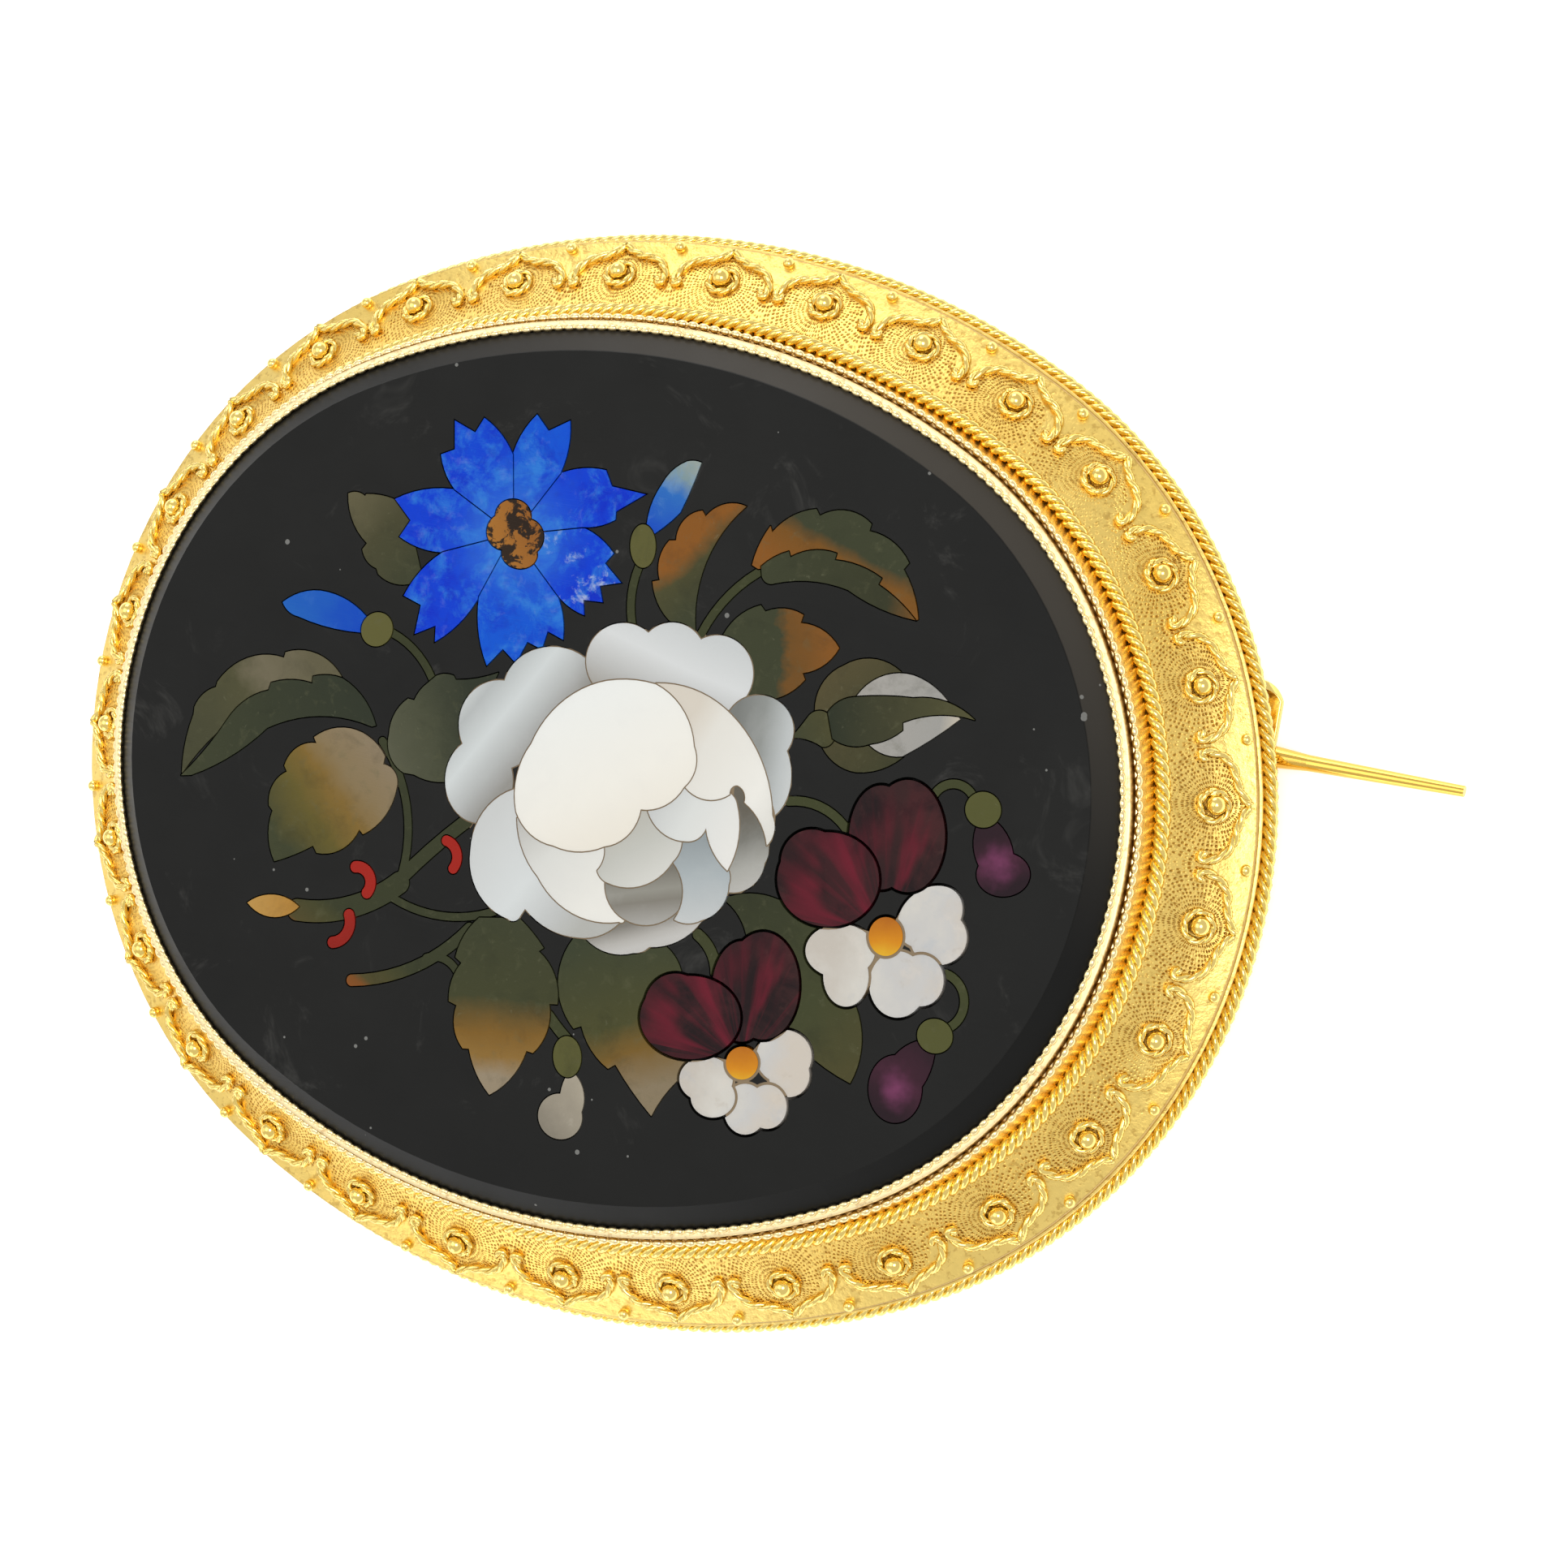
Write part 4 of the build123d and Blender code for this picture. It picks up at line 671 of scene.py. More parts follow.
# %% [markdown]
# ## Cement of the pale flowers
# The pale petals are bedded in a tan cement that shows as hairlines between them. A thin plate
# lies a hair under their tops, as wide as the flower, so that each seam shows it.

# %% Cement plates
CEMENT_TOP, CEMENT_DEEP, CEMENT_RAYS = 6.425, 6.10, 120


def cement_plate(name, nodes, eye=None, inset=0.0):
    """A plate as wide as some petals, drawn by its reach along rays from the middle or an eye."""
    petals = [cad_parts[node] for node in nodes]
    rims = [petal.matrix_world @ vert.co / MM for petal in petals for vert in petal.data.vertices]
    middle = Vector(eye or (sum(p.x for p in rims) / len(rims), sum(p.y for p in rims) / len(rims)))
    reach_at = [0.0] * CEMENT_RAYS
    for rim in rims:
        arm = Vector((rim.x, rim.y)) - middle
        ray = round(atan2(arm.y, arm.x) / tau * CEMENT_RAYS) % CEMENT_RAYS
        reach_at[ray] = max(reach_at[ray], arm.length - inset)
    first = 0
    if eye:
        # The petals leave a side open: the plate starts after it and closes at the eye.
        filled = [ray for ray, reach in enumerate(reach_at) if reach]
        gaps = [((two - one) % CEMENT_RAYS, two) for one, two in zip(filled, filled[1:] + filled[:1])]
        first = max(gaps)[1]
    line = []
    for step in range(CEMENT_RAYS):
        ray = (first + step) % CEMENT_RAYS
        if reach_at[ray] > 0:
            turned = tau * ray / CEMENT_RAYS
            line.append(middle + Vector((cos(turned), sin(turned))) * reach_at[ray])
    if eye:
        line.append(middle)
    bm = bmesh.new()
    plate = bm.faces.new([bm.verts.new((point.x, point.y, CEMENT_TOP)) for point in line])
    thick = bmesh.ops.extrude_face_region(bm, geom=[plate])
    low = [item for item in thick["geom"] if isinstance(item, bmesh.types.BMVert)]
    bmesh.ops.translate(bm, vec=(0, 0, CEMENT_DEEP - CEMENT_TOP), verts=low)
    return piece(bm, name, slot="shell_white", smooth=False)


EYES = {"right": (13.0, -3.7), "low": (8.2, -9.4)}
cements = [cement_plate("rose_cement", [f"rose_petal_{number:02d}" for number in range(1, 14)])]
for side, eye in EYES.items():
    cements.append(cement_plate(f"pansy_{side}_cement", [f"pansy_{side}_pale_petals"], eye, 0.12))

# %% [markdown]
# ## Finishes
# The stones are cut from real rock, and each piece shows the drift of colour its cutter chose
# it for. One shared group turns the Object coordinates into a soft drift from one tint to the
# next with a wandering edge, and another lays fine polishing marks and dust on the surface. The
# helpers first: they add a node, give it its inputs by name, and do sums between sockets.


# %% Node helpers
tree = None


def work_in(started):
    """The helpers below put their nodes in this tree."""
    global tree
    tree = started


def give(socket, value):
    """A plain value for a socket, or a link from another one."""
    if isinstance(value, bpy.types.NodeSocket):
        tree.links.new(value, socket)
    else:
        socket.default_value = value


def feed(node, **inputs):
    """Give a node its inputs by name, where an underscore stands for a space."""
    for label, value in inputs.items():
        give(node.inputs[label.replace("_", " ")], value)


def add(kind, **values):
    """A new node. Names in small letters are its settings, the others its inputs."""
    node = tree.nodes.new("ShaderNode" + kind)
    for label, value in values.items():
        if label.islower():
            setattr(node, label, value)
    feed(node, **{label: value for label, value in values.items() if not label.islower()})
    return node


def maths(operation, one, two=None, clamp=False):
    node = add("Math", operation=operation, use_clamp=clamp)
    give(node.inputs[0], one)
    if two is not None:
        give(node.inputs[1], two)
    return node.outputs[0]


def times(one, two):
    return maths("MULTIPLY", one, two)


def plus(one, two, clamp=False):
    return maths("ADD", one, two, clamp)


def minus(one, two, clamp=False):
    return maths("SUBTRACT", one, two, clamp)


def distance_of(x, y):
    return maths("SQRT", plus(times(x, x), times(y, y)))


def noise(vector, scale, detail=3.0, rough=0.5, distortion=0.0):
    node = add(
        "TexNoise", Vector=vector, Scale=scale, Detail=detail, Roughness=rough, Distortion=distortion,
    )
    return node.outputs["Fac"]


def window(value, begin, end, top=1.0, smooth=True):
    """A step from 0 at begin to its top at end; begin may be the larger."""
    kind = "SMOOTHSTEP" if smooth else "LINEAR"
    node = add("MapRange", interpolation_type=kind, Value=value, From_Min=begin, From_Max=end, To_Max=top)
    return node.outputs["Result"]


def parts_of(vector):
    return add("SeparateXYZ", Vector=vector).outputs


def placed(x, y):
    return add("CombineXYZ", X=x, Y=y).outputs[0]


def bumped(height, strength, distance, under=None, invert=False):
    """Relief from a height, its distance in millimetres, laid over another relief."""
    node = add("Bump", invert=invert, Height=height, Strength=strength, Distance=distance * MM)
    if under is not None:
        feed(node, Normal=under)
    return node.outputs["Normal"]


def tint(red, green, blue, share=1.0):
    """A colour as a picture shows it, 0 to 255, made linear and darker by a share."""
    linear = [value / 255 / 12.92 if value <= 10 else ((value / 255 + 0.055) / 1.055) ** 2.4
              for value in (red, green, blue)]
    return tuple(value * share for value in linear) + (1.0,)


def mixed(factor, one, two):
    return add("Mix", data_type="RGBA", Factor=factor, A=one, B=two).outputs["Result"]


def ramp(factor, stops):
    """A colour ramp through its stops, each a position and a full colour."""
    node = add("ValToRGB", Fac=factor)
    elements = node.color_ramp.elements
    while len(elements) < len(stops):
        elements.new(1.0)
    for element, (position, colour) in zip(elements, stops):
        element.position = position
        element.color = colour
    return node.outputs["Color"]


# %% Shared groups
def new_group(name, inputs, outputs):
    group = bpy.data.node_groups.new(name, "ShaderNodeTree")
    for label, kind, value in inputs:
        socket = group.interface.new_socket(name=label, in_out="INPUT", socket_type=kind)
        if value is not None:
            socket.default_value = value
    for label, kind in outputs:
        group.interface.new_socket(name=label, in_out="OUTPUT", socket_type=kind)
    work_in(group)
    return group, group.nodes.new("NodeGroupInput").outputs, group.nodes.new("NodeGroupOutput")


# Drift: X of the mapped coordinates runs from 0 at the first tint to 1 at the last.
drift, given, drift_out = new_group(
    "tint_drift",
    [("Place", "NodeSocketVector", None), ("Wander", "NodeSocketFloat", 0.2),
     ("Grain", "NodeSocketFloat", 900.0), ("Object", "NodeSocketVector", None)],
    [("Factor", "NodeSocketFloat")],
)
cloud = noise(given["Object"], given["Grain"], 4.0, 0.6)
wandering = times(minus(cloud, 0.5), given["Wander"])
feed(drift_out, Factor=plus(parts_of(given["Place"])["X"], wandering, clamp=True))

# Polish: faint scratches, a little dust and the waviness of a hand-ground face.
SCRATCH_WAY, SCRATCH_SCALE = radians(27), (500, 26000, 500)
polish, given, polish_out = new_group(
    "stone_polish",
    [("Object", "NodeSocketVector", None), ("Roughness", "NodeSocketFloat", 0.3),
     ("Marks", "NodeSocketFloat", 0.5)],
    [("Roughness", "NodeSocketFloat"), ("Height", "NodeSocketFloat"), ("Dust", "NodeSocketFloat")],
)
patches = noise(given["Object"], 420.0, 3.0, 0.6)
stretch = add("Mapping", Vector=given["Object"], Rotation=(0, 0, SCRATCH_WAY), Scale=SCRATCH_SCALE)
scratch = maths("POWER", noise(stretch.outputs["Vector"], 1.0, 2.0, 0.5), 7.0)
rougher = plus(given["Roughness"], times(minus(patches, 0.45), 0.22))
marked = times(scratch, times(given["Marks"], 4.0))
specks = add("TexVoronoi", feature="F1", Vector=given["Object"], Scale=900.0)
speck_size = times(minus(noise(given["Object"], 180.0, 2.0, 0.5), 0.42), 0.42)
feed(
    polish_out, Roughness=plus(rougher, marked, clamp=True),
    Height=plus(times(patches, 0.6), times(scratch, -1.5)),
    Dust=maths("LESS_THAN", specks.outputs["Distance"], speck_size),
)


# %% [markdown]
# ## Stones of the bouquet
# Each row below is one piece of the inlay: its tints from one end of the drift to the other, and
# where that drift begins and ends on the plaque, in millimetres. A piece of shell is shiny and
# pale, the lapis has white clouds, the leaves are green jasper running to orange or grey-beige.
# The dark petals of the pansies have streaks that run out from the eye.

# %% Stone material
# The strong light makes a stone come out brighter, so that its tints are darkened by this share.
DARKER, SHELL_DARKER = 0.61, 0.76


def on_plaque(where, point, unit, angle=0.0):
    """Coordinates that begin at a point in millimetres and are counted in a unit of their own."""
    mapping = add(
        "Mapping", vector_type="TEXTURE", Vector=where, Location=(point[0] * MM, point[1] * MM, 0),
        Rotation=(0, 0, angle), Scale=(unit, unit, MM),
    )
    return mapping.outputs["Vector"]


def about_point(where, point):
    """Angle and distance in millimetres about a point of the plaque."""
    parts = parts_of(on_plaque(where, point, MM))
    x, y = parts["X"], parts["Y"]
    return maths("ARCTAN2", y, x), distance_of(x, y)


def streaks(where, eye, rays):
    """Streaks that run out from a flower's eye and die away: 1 on a streak."""
    angle, far = about_point(where, eye)
    place = placed(times(angle, rays), times(far, 0.20))
    fibre = noise(place, 1.0, 2.0, 0.5, 0.3)
    return times(window(fibre, 0.48, 0.66), window(far, 6.4, 3.0))


def spot(where, middle, radius):
    """A soft uneven spot: 1 at its middle."""
    far = about_point(where, middle)[1]
    ragged = times(noise(where, 900.0, 3.0, 0.6), 1.6)
    return window(plus(far, ragged), radius + 1.0, 0.5)


def new_material(name):
    material = bpy.data.materials.new(name)
    material.use_nodes = True
    work_in(material.node_tree)
    return material, tree.nodes["Principled BSDF"]


def grind(shader, where, rough, marks, bump):
    """The polish of a ground face: its roughness and relief, and where its dust lies."""
    face = add("Group", node_tree=polish, Object=where, Roughness=rough, Marks=marks).outputs
    feed(shader, Roughness=face["Roughness"], Normal=bumped(face["Height"], bump, 0.02))
    return face["Dust"]


def stone_material(
    name, stops, begin, end, wander=0.25, grain=900.0, rough=0.22, clouds=(), marks=0.3,
    coat=0.0, subsurface=0.0, darker=DARKER, accents=(),
):
    """Stone whose tint drifts through the stops from begin to end, in millimetres."""
    material, shader = new_material(name)
    where = add("TexCoord").outputs["Object"]
    way = Vector(end) - Vector(begin)
    place = on_plaque(where, begin, way.length * MM, atan2(way.y, way.x))
    turned = add("Group", node_tree=drift, Place=place, Object=where, Wander=wander, Grain=grain)
    colour = ramp(turned.outputs["Factor"], [(share, tint(*dye, darker)) for share, dye in stops])
    # Each cloud is its tint, its scale, where its noise begins and ends, and its strength.
    for cloud_tint, scale, low, high, strength in clouds:
        veil = window(noise(where, scale, 6.0, 0.68, 0.4), low, high, strength, smooth=False)
        colour = mixed(veil, colour, tint(*cloud_tint, DARKER))
    # Each accent is a mask, where it sits, its size, its tint and its strength.
    for mask, place, size, accent_tint, strength in accents:
        factor = times(mask(where, place, size), strength)
        colour = mixed(factor, colour, tint(*accent_tint, DARKER))
    grind(shader, where, rough, marks, 0.02)
    feed(
        shader, Base_Color=colour, Specular_IOR_Level=0.08, Coat_Weight=coat * 0.12,
        Coat_Roughness=0.08, Subsurface_Weight=subsurface, Subsurface_Radius=(0.6 * MM,) * 3,
        Subsurface_Scale=1.0,
    )
    return material


def dress(node, material):
    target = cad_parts[node]
    target.data.materials.clear()
    target.data.materials.append(material)


# Node, where its drift begins and ends, and the stops: share of the way, (red, green, blue).
petal_rows = [
    ("rose_petal_01", (-1, 2.5), (2.4, -3),
     [(0, (240, 241, 236)), (0.5, (243, 240, 230)), (1, (236, 228, 212))]),
    ("rose_petal_02", (2.4, -1.0), (6.2, -2.6),
     [(0, (198, 200, 198)), (0.4, (222, 224, 220)), (1, (236, 234, 228))]),
    ("rose_petal_03", (1.6, -1.6), (3.4, -3.8),
     [(0, (188, 186, 176)), (0.4, (198, 198, 190)), (1, (222, 221, 214))]),
    ("rose_petal_04", (4.6, -1.6), (5.2, -4.6),
     [(0, (150, 158, 160)), (0.45, (174, 182, 184)), (1, (200, 203, 202))]),
    ("rose_petal_05", (3.2, 1.6), (8.2, -0.6),
     [(0, (218, 210, 196)), (0.2, (230, 227, 218)), (0.7, (240, 238, 230)), (1, (220, 218, 210))]),
    ("rose_petal_06", (5.4, -0.8), (6.8, -3.4),
     [(0, (104, 99, 88)), (0.35, (122, 121, 113)), (0.7, (172, 171, 164)), (1, (190, 188, 182))]),
    ("rose_petal_07", (2.6, -3.2), (3.2, -5.2),
     [(0, (122, 118, 108)), (0.35, (150, 148, 138)), (0.55, (134, 130, 120)),
      (1, (176, 174, 168))]),
    ("rose_petal_08", (-2.6, -2.2), (1.0, -5.2),
     [(0, (188, 186, 180)), (0.4, (222, 222, 216)), (1, (238, 236, 228))]),
    ("rose_petal_09", (-3.6, -2), (1.2, -5.0),
     [(0, (206, 208, 206)), (0.5, (218, 222, 221)), (0.8, (196, 198, 196)), (1, (182, 182, 176))]),
    ("rose_petal_10", (2.4, -4.7), (3.0, -6.0),
     [(0, (112, 107, 96)), (0.4, (130, 126, 117)), (0.8, (184, 181, 175)), (1, (196, 194, 189))]),
    ("rose_petal_11", (5.6, 2.2), (8.4, 2.2),
     [(0, (124, 126, 122)), (0.4, (146, 149, 145)), (0.75, (190, 194, 193)), (1, (208, 211, 209))]),
    ("rose_petal_12", (2.2, 2.8), (3.0, 6.2),
     [(0, (164, 160, 152)), (0.25, (190, 190, 187)), (0.6, (219, 221, 220)), (1, (204, 207, 206))]),
    ("rose_petal_13", (-2.4, 0.6), (-5.6, 2.6),
     [(0, (150, 148, 142)), (0.22, (182, 184, 182)), (0.5, (212, 217, 216)), (0.8, (184, 188, 187)),
      (1, (210, 214, 212))]),
]
for node, begin, end, stops in petal_rows:
    dress(node, stone_material(
        node + "_shell", stops, begin, end, wander=0.10, grain=260.0, rough=0.20, marks=0.10,
        clouds=[((236, 236, 234), 300.0, 0.5, 0.9, 0.25)], subsurface=0.12, darker=SHELL_DARKER,
    ))

tan_cement = stone_material(
    "tan_cement", [(0, (150, 128, 100)), (1, (160, 140, 112))], (-4, 0), (6, -4), rough=0.6,
)
for cement in cements:
    cement.data.materials.append(tan_cement)

BLUE, CORNFLOWER = [(0, (0, 68, 228)), (1, (8, 96, 230))], (-4.85, 8.5)
for number in range(1, 8):
    flecks = 0.75 if number == 4 else 0.10
    dress(f"cornflower_petal_{number}", stone_material(
        f"cornflower_{number}_lapis", BLUE, CORNFLOWER,
        (CORNFLOWER[0] + 4 * cos(number), CORNFLOWER[1] + 4 * sin(number)),
        wander=1.2, grain=520.0, rough=0.24, marks=0.2,
        clouds=[((0, 36, 208), 620.0, 0.50, 0.68, 0.75), ((52, 140, 236), 760.0, 0.48, 0.66, 0.85),
                ((16, 60, 190), 2600.0, 0.52, 0.70, 0.35), ((205, 220, 242), 1500.0, 0.56, 0.70, flecks)],
        accents=[(spot, CORNFLOWER, 3.4, (70, 150, 236), 0.55)],
    ))
dress("cornflower_centre", stone_material(
    "speckled_jasper", [(0, (184, 122, 50)), (1, (160, 100, 40))], (-5.5, 8), (-4, 9), wander=0.6,
    grain=900.0, clouds=[((28, 26, 24), 1500.0, 0.50, 0.54, 0.95)],
))
dress("blue_bud_left", stone_material(
    "left_bud_lapis", [(0, (0, 72, 206)), (1, (34, 108, 204))], (-10, 4), (-14, 4.4), wander=0.8,
    clouds=[((90, 150, 225), 500.0, 0.55, 0.75, 0.4)],
))
dress("blue_bud_top", stone_material(
    "top_bud_lapis",
    [(0, (16, 80, 210)), (0.55, (50, 120, 206)), (0.8, (140, 165, 170)), (1, (165, 178, 172))],
    (0.8, 9.3), (2.3, 12.3), wander=0.5, clouds=[((120, 170, 225), 900.0, 0.52, 0.7, 0.5)],
))

GREEN, DARK_GREEN, OLIVE = (67, 71, 48), (52, 58, 43), (82, 80, 48)
ORANGE, TAN = (150, 94, 34), (122, 84, 36)
# Node, where its drift begins and ends, how far its edge wanders, and the stops.
leaf_rows = [
    ("leaf_top", (4.4, 8.0), (1.4, 10.6), 0.35,
     [(0, GREEN), (0.38, OLIVE), (0.56, ORANGE), (1, ORANGE)]),
    ("leaf_upper_outer", (8.0, 8.6), (8.9, 11.4), 0.3,
     [(0, ORANGE), (0.42, (132, 88, 32)), (0.6, GREEN), (1, GREEN)]),
    ("leaf_upper_inner", (5.6, 8.7), (12.0, 7.9), 0.2,
     [(0, GREEN), (0.8, (60, 62, 40)), (1, TAN)]),
    ("leaf_round_right", (4.8, 5.0), (9.3, 6.2), 0.45,
     [(0, GREEN), (0.47, GREEN), (0.55, TAN), (1, ORANGE)]),
    ("leaf_behind_cornflower", (-8, 7), (-12.4, 9.4), 0.3,
     [(0, GREEN), (0.5, (80, 78, 52)), (1, (116, 109, 80))]),
    ("leaf_left_outer", (-12, 2), (-17, -1.5), 0.6,
     [(0, (108, 102, 76)), (0.35, (124, 116, 92)), (0.6, (88, 86, 58)), (1, (78, 78, 54))]),
    ("leaf_left_inner", (-10, 1), (-17, -3), 0.3,
     [(0, DARK_GREEN), (1, GREEN)]),
    ("leaf_beige", (-8.6, -0.8), (-12.2, -5.0), 0.25,
     [(0, (154, 137, 110)), (0.3, (150, 130, 94)), (0.48, (142, 113, 54)), (0.7, (110, 99, 46)),
      (1, (70, 74, 48))]),
    ("leaf_round_left", (-5.4, 1.6), (-9.4, -0.4), 0.4,
     [(0, DARK_GREEN), (0.45, (80, 83, 62)), (1, (102, 103, 82))]),
    ("leaf_low_left", (-2.9, -6.0), (-1.9, -12.6), 0.14,
     [(0, GREEN), (0.46, (72, 74, 46)), (0.66, (140, 104, 44)), (0.8, (156, 120, 60)),
      (0.92, (166, 150, 124))]),
    ("leaf_low_middle", (2.0, -6.0), (4.6, -12.0), 0.16,
     [(0, (66, 72, 50)), (0.48, (82, 82, 46)), (0.66, (132, 102, 46)), (0.88, (150, 134, 106))]),
    ("leaf_low_right", (7, -4), (12.4, -9), 0.4,
     [(0, (58, 62, 40)), (0.6, (72, 76, 46)), (1, (84, 80, 46))]),
    ("rosebud_leaf", (9.5, 3.7), (15, 4.6), 0.2,
     [(0, (48, 54, 38)), (0.4, (70, 70, 46)), (1, (90, 88, 56))]),
    ("rosebud_calyx", (9.4, 3.5), (8, 2.8), 0.3,
     [(0, OLIVE), (1, GREEN)]),
    ("rosebud_sepals", (9, 5), (12, 3), 0.5,
     [(0, (92, 84, 54)), (1, (70, 70, 44))]),
    ("rosebud_petals", (10.4, 4.4), (14.4, 4.6), 0.2,
     [(0, (186, 182, 174)), (0.8, (176, 174, 168)), (1, (214, 204, 184))]),
    ("bud_calyxes", (-10, 4), (16, -7), 0.4,
     [(0, (106, 103, 56)), (1, (92, 93, 50))]),
    ("stems", (-10, 4), (16, -6), 0.5,
     [(0, (62, 66, 40)), (1, (72, 76, 44))]),
    ("branch", (-9, -10), (-7.9, -7.8), 0.1,
     [(0, (160, 88, 34)), (0.3, (136, 84, 36)), (0.42, (88, 80, 44)), (0.8, (76, 76, 44)),
      (1, (62, 66, 42))]),
    ("branch_tip", (-11.6, -7.2), (-13.4, -7.4), 0.3,
     [(0, (196, 144, 64)), (1, (206, 160, 84))]),
]
for node, begin, end, wander, stops in leaf_rows:
    dress(node, stone_material(
        node + "_jasper", stops, begin, end, wander=wander, grain=520.0, rough=0.26, marks=0.4,
        clouds=[((150, 150, 120), 3800.0, 0.64, 0.78, 0.40), ((40, 44, 30), 700.0, 0.52, 0.72, 0.30),
                ((108, 108, 78), 1700.0, 0.56, 0.74, 0.35)],
    ))

dress("thorns", stone_material(
    "coral", [(0, (178, 38, 26)), (1, (142, 32, 22))], (-9, -6), (-8, -9), wander=0.6,
))
dress("drop_bud", stone_material(
    "drop_agate", [(0, (150, 142, 126)), (1, (186, 176, 156))], (0.6, -13.6), (1.8, -11.6), wander=0.9,
    clouds=[((205, 198, 180), 900.0, 0.55, 0.7, 0.5)],
))

for side, centre in (("right", (11.6, -1.0)), ("low", (6.9, -7.4))):
    node, eye = f"pansy_{side}_dark_petals", EYES[side]
    dress(node, stone_material(
        node + "_garnet",
        [(0, (44, 16, 18)), (0.35, (66, 22, 28)), (0.6, (48, 20, 22)), (1, (62, 30, 30))],
        (centre[0] - 2.6, centre[1] - 1.4), (centre[0] + 2.6, centre[1] + 1.2), wander=0.7, grain=300.0,
        rough=0.16, marks=0.1, coat=0.4,
        clouds=[((24, 6, 10), 420.0, 0.44, 0.60, 0.90), ((96, 60, 56), 1500.0, 0.60, 0.76, 0.35)],
        accents=[(streaks, eye, 2.3, (118, 18, 42), 0.85), (streaks, eye, 12.0, (140, 20, 50), 0.15)],
    ))
for side, begin, end in (("right", (11, -4), (15.4, -5)), ("low", (6.5, -10), (10.4, -10.6))):
    node = f"pansy_{side}_pale_petals"
    dress(node, stone_material(
        node + "_opal",
        [(0, (222, 214, 202)), (0.4, (238, 234, 224)), (0.7, (226, 224, 220)), (1, (232, 222, 208))],
        begin, end, wander=1.4, grain=360.0, rough=0.16, marks=0.2, coat=0.4, subsurface=0.3,
        clouds=[((196, 206, 218), 420.0, 0.54, 0.74, 0.5), ((244, 236, 224), 800.0, 0.54, 0.70, 0.6),
                ((200, 184, 166), 1300.0, 0.60, 0.76, 0.4)],
    ))
for side, centre in EYES.items():
    node = f"pansy_{side}_eye"
    dress(node, stone_material(
        node + "_amber", [(0, (248, 190, 40)), (0.35, (236, 152, 14)), (1, (190, 104, 6))],
        (centre[0] + 0.1, centre[1] - 0.7), (centre[0] - 0.2, centre[1] + 0.8), wander=0.5, rough=0.1,
        coat=0.8,
    ))
# Each purple bud has a painted highlight: a soft magenta spot at its middle.
for node, begin, end, middle in (
    ("purple_bud_right", (16.2, 0.6), (17.2, -1.2), (16.9, -0.3)),
    ("purple_bud_left", (15.4, -7.6), (14.4, -10.2), (14.5, -9.0)),
):
    dress(node, stone_material(
        node + "_garnet", [(0, (40, 12, 26)), (0.5, (66, 24, 44)), (1, (34, 8, 22))],
        begin, end, wander=0.7, grain=500.0, rough=0.12, coat=0.6,
        accents=[(spot, middle, 0.8, (150, 70, 118), 0.75)],
    ))

# %% [markdown]
# ## The black plaque
# The plaque is a fine black stone, satin rather than glossy, with hair scratches and dust. Its
# ground bevel has a painted sheen: it is painted paler toward the upper right, where light grazes it.

# %% Black stone
black, shader = new_material("black_stone")
where = add("TexCoord").outputs["Object"]
place = parts_of(where)
dust = grind(shader, where, 0.36, 0.15, 0.02)
face_tint = mixed(noise(where, 90.0, 4.0, 0.6), tint(12, 12, 11), tint(22, 22, 20))
smudge = window(noise(where, 260.0, 5.0, 0.7, 1.0), 0.57, 0.75)
face_tint = mixed(times(smudge, 0.36), face_tint, tint(70, 69, 66))
# Painted sheen: the bevel is painted paler toward the upper right, where light grazes it.
upper_right = window(plus(times(place["X"], 0.5), place["Y"]), 6 * MM, 21 * MM)
bevel_tint = mixed(upper_right, tint(18, 18, 17), tint(60, 56, 50))
on_bevel = window(place["Z"], 6.44 * MM, 6.40 * MM, smooth=False)
stone_tint = mixed(on_bevel, face_tint, bevel_tint)
dusted = mixed(times(dust, 0.75), stone_tint, tint(120, 120, 116))
feed(shader, Base_Color=dusted, Specular_IOR_Level=0.13)
dress("stone", black)

# %% [markdown]
# ## Gold
# High-carat gold left matte by the pickle and burnished only where a hand reaches. The tone
# group drifts between a yellow and a deeper orange gold and roughens in patches. The border adds
# rows of tiny punch marks and two lines of painted shade in its grooves, which follow its own UV
# map round the oval.


# %% Gold
gold_tone, given, tone_out = new_group(
    "gold_tone",
    [("Object", "NodeSocketVector", None), ("Roughness", "NodeSocketFloat", 0.25)],
    [("Color", "NodeSocketColor"), ("Roughness", "NodeSocketFloat"), ("Height", "NodeSocketFloat")],
)
slow = noise(given["Object"], 140.0, 3.0, 0.5)
fine = noise(given["Object"], 2600.0, 4.0, 0.6)
uneven = times(minus(fine, 0.5), 0.25)
feed(
    tone_out, Color=mixed(slow, tint(244, 208, 106), tint(252, 226, 142)),
    Roughness=plus(given["Roughness"], uneven, clamp=True), Height=fine,
)

DEEP, WARM = (230, 182, 76), (238, 194, 90)
# The groove tint is painted shade, for the dark lines in two grooves of the border.
PALE, GROOVE, PUNCHED = (250, 228, 176), (160, 126, 68), (164, 114, 36)
PITCH, RINGS, DOTS_A_TURN = 4.55, 6.4, 11.0
# How far out the punched ground reaches, by the distance from a rosette in half pitches.
REACH_FULL = 4.0
ground_reach = [
    (0.0, 3.75), (0.12, 3.50), (0.32, 3.30), (0.58, 3.18), (0.78, 2.93), (0.88, 2.45), (1.0, 2.35),
]


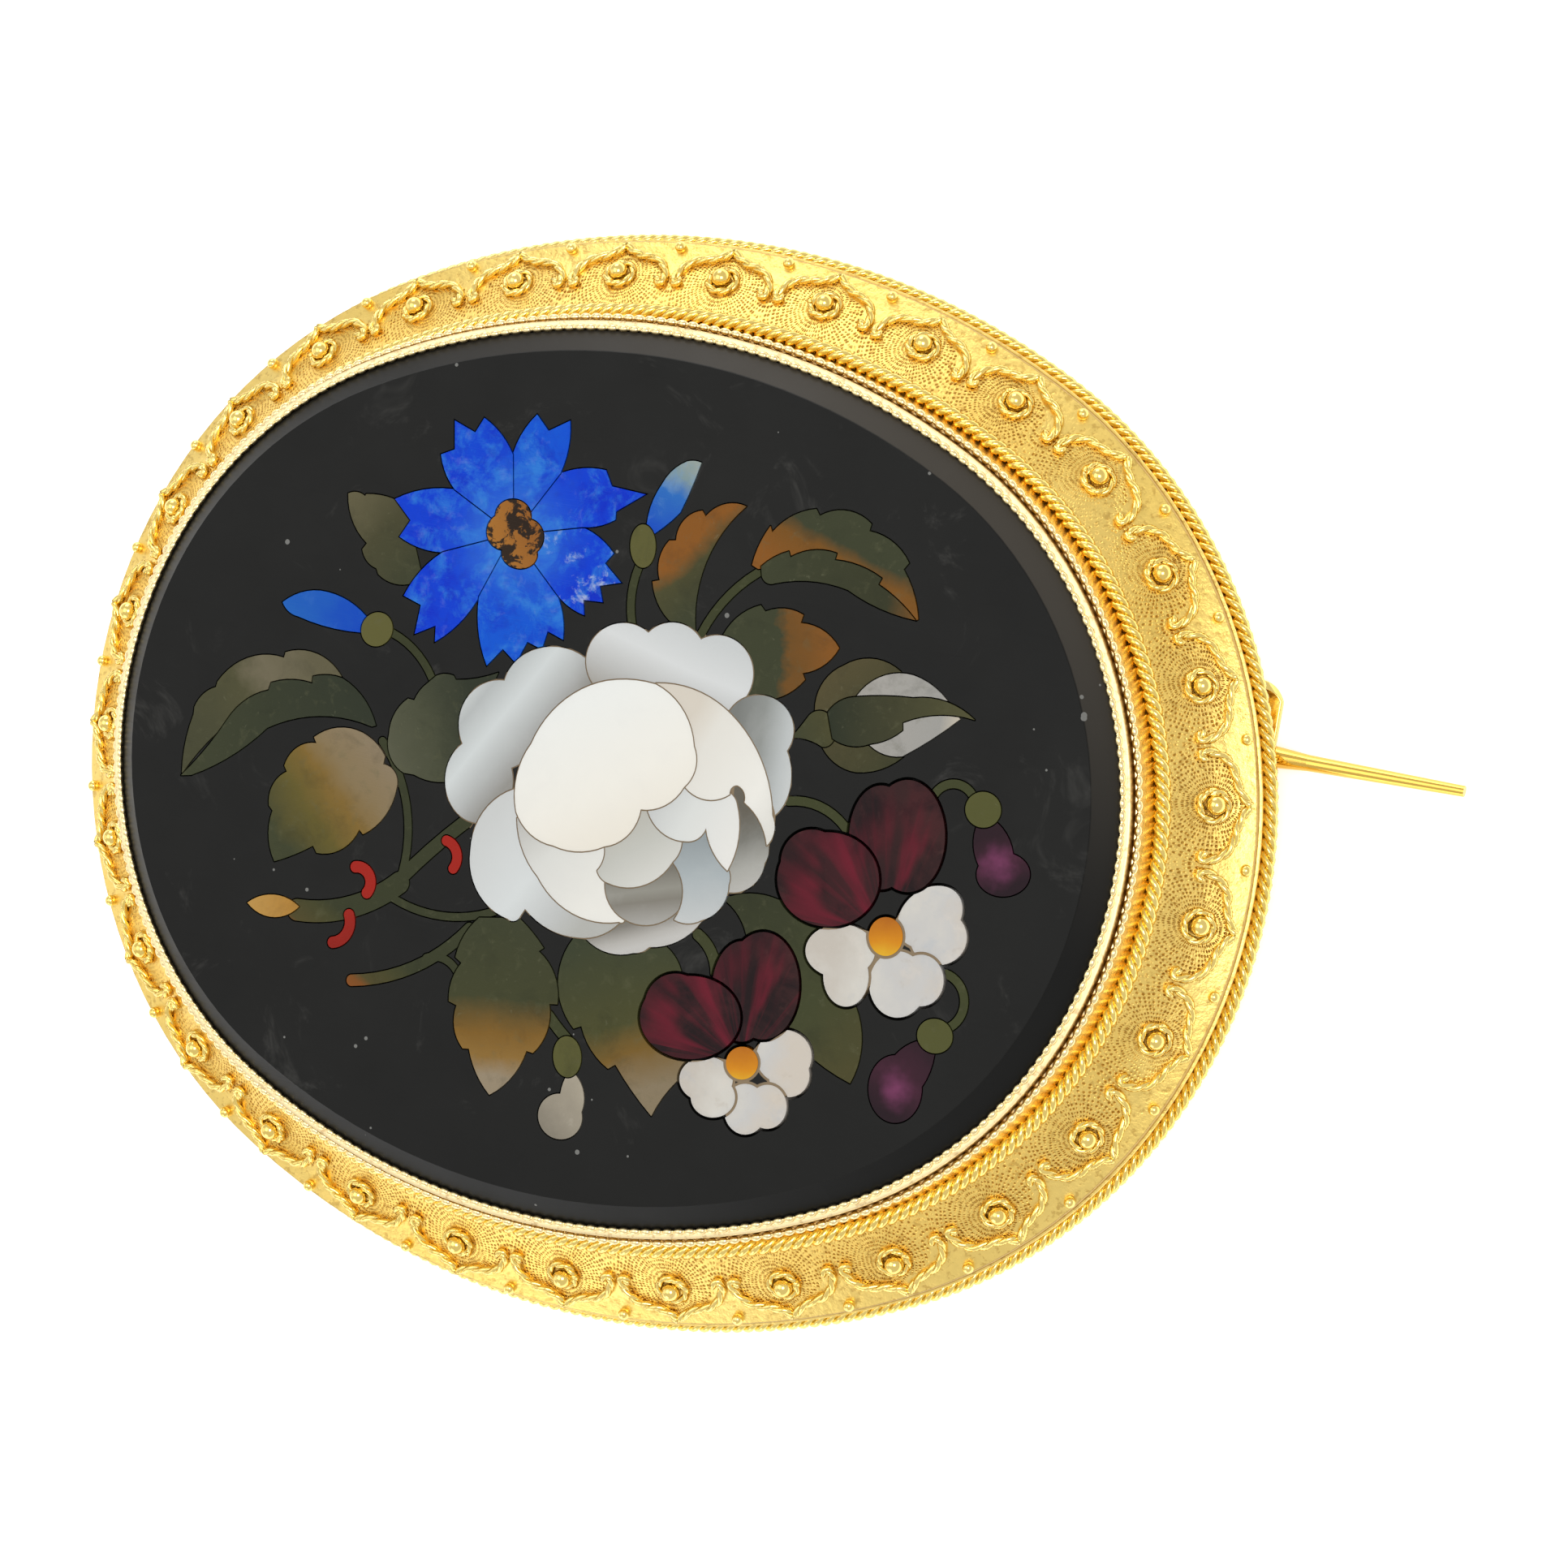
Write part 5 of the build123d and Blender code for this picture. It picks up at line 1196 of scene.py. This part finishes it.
def punch_marks(where, along, across):
    """Rows of punch marks in rings about each rosette, and the ground that they cover."""
    beside = times(maths("PINGPONG", along, 0.5), 2.0)
    aside = times(beside, PITCH / 2)
    beyond = minus(across, rosette_across * border_width)
    far = distance_of(aside, beyond)
    rings = plus(times(far, RINGS), times(noise(where, 420.0, 2.0, 0.5), 2.5))
    turned = times(maths("ARCTAN2", aside, beyond), DOTS_A_TURN)
    dots = add("TexVoronoi", feature="F1", Vector=placed(turned, rings), Scale=1.0, Randomness=0.30)
    # The ground they cover runs from the inner rope out to the arches, and wears away in patches.
    limits = [(step, (limit / REACH_FULL,) * 3 + (1.0,)) for step, limit in ground_reach]
    reach = ramp(beside, limits)
    room = minus(times(reach, REACH_FULL), across)
    ground = times(window(across, 1.12, 1.30), window(room, 0.02, 0.14))
    ground = times(ground, window(noise(where, 160.0, 2.0, 0.5), 0.22, 0.48))
    return times(window(dots.outputs["Distance"], 0.42, 0.14), ground), ground


# Where stripes begin, are full, grow less and end across the border, in millimetres.
COVE = (0.62, 0.66, 1.00, 1.10)
# The upper and rim lines are painted shade, in the groove under the upper wire and at the border's rim.
UPPER_LINE, RIM_LINE = (0.395, 0.405, 0.418, 0.435), (3.90, 3.93, 3.96, 3.99)


def band(across, begin, full, less, end):
    """A stripe along the border: 0 at begin, 1 from full to less, and 0 again at the end."""
    return times(window(across, begin, full), window(across, end, less))


def punched_sheet(coordinates, colour, gloss, relief):
    """The border's sheet: punch marks, a pale collet, painted shade in two grooves, hammering and a
    burnished cove.
    """
    where = coordinates["Object"]
    laid = parts_of(coordinates["UV"])
    across = laid["Y"]
    pits, ground = punch_marks(where, laid["X"], across)
    colour = mixed(times(ground, 0.30), colour, tint(*WARM))
    colour = mixed(times(pits, 0.88), colour, tint(*PUNCHED))
    relief = bumped(pits, 0.8, 0.05, relief, invert=True)
    # The collet is paler, with a line of painted shade in the groove under its upper wire and another at
    # the border's rim.
    colour = mixed(window(across, 0.70, 0.62), colour, tint(*PALE))
    line, rim = band(across, *UPPER_LINE), times(band(across, *RIM_LINE), 0.7)
    colour = mixed(maths("MAXIMUM", line, rim), colour, tint(*GROOVE))
    # The hammered, pickled sheet is mottled; the cove beside the rope is burnished.
    mottle = noise(where, 3600.0, 4.0, 0.65)
    relief = bumped(times(mottle, window(across, 1.05, 1.20)), 0.6, 0.05, relief)
    colour = mixed(times(window(mottle, 0.47, 0.36), 0.40), colour, tint(*PUNCHED))
    burnished = times(band(across, *COVE), 0.06)
    return colour, minus(gloss, burnished, clamp=True), relief


def gold_material(name, rough, punched=False, pale=0.0, deep=0.0):
    material, shader = new_material(name)
    coordinates = add("TexCoord").outputs
    tone = add("Group", node_tree=gold_tone, Object=coordinates["Object"], Roughness=rough).outputs
    colour = mixed(pale, tone["Color"], tint(*PALE))
    if deep:
        colour = mixed(deep, colour, tint(*DEEP))
    gloss, relief = tone["Roughness"], bumped(tone["Height"], 0.10, 0.03)
    if punched:
        colour, gloss, relief = punched_sheet(coordinates, colour, gloss, relief)
    feed(shader, Base_Color=colour, Metallic=1.0, Roughness=gloss, Normal=relief)
    return material


sheet_gold = gold_material("sheet_gold", 0.34, punched=True, deep=0.15)
wire_gold = gold_material("wire_gold", 0.15)
bead_gold = gold_material("bead_gold", 0.22, pale=0.8)
finishes = {"gold_border": sheet_gold, "upper_beads": bead_gold, "lower_beads": bead_gold}
for made in gold_pieces:
    made.data.materials.append(finishes.get(made.name, wire_gold))
dress("pin", gold_material("pin_gold", 0.12, deep=0.75))
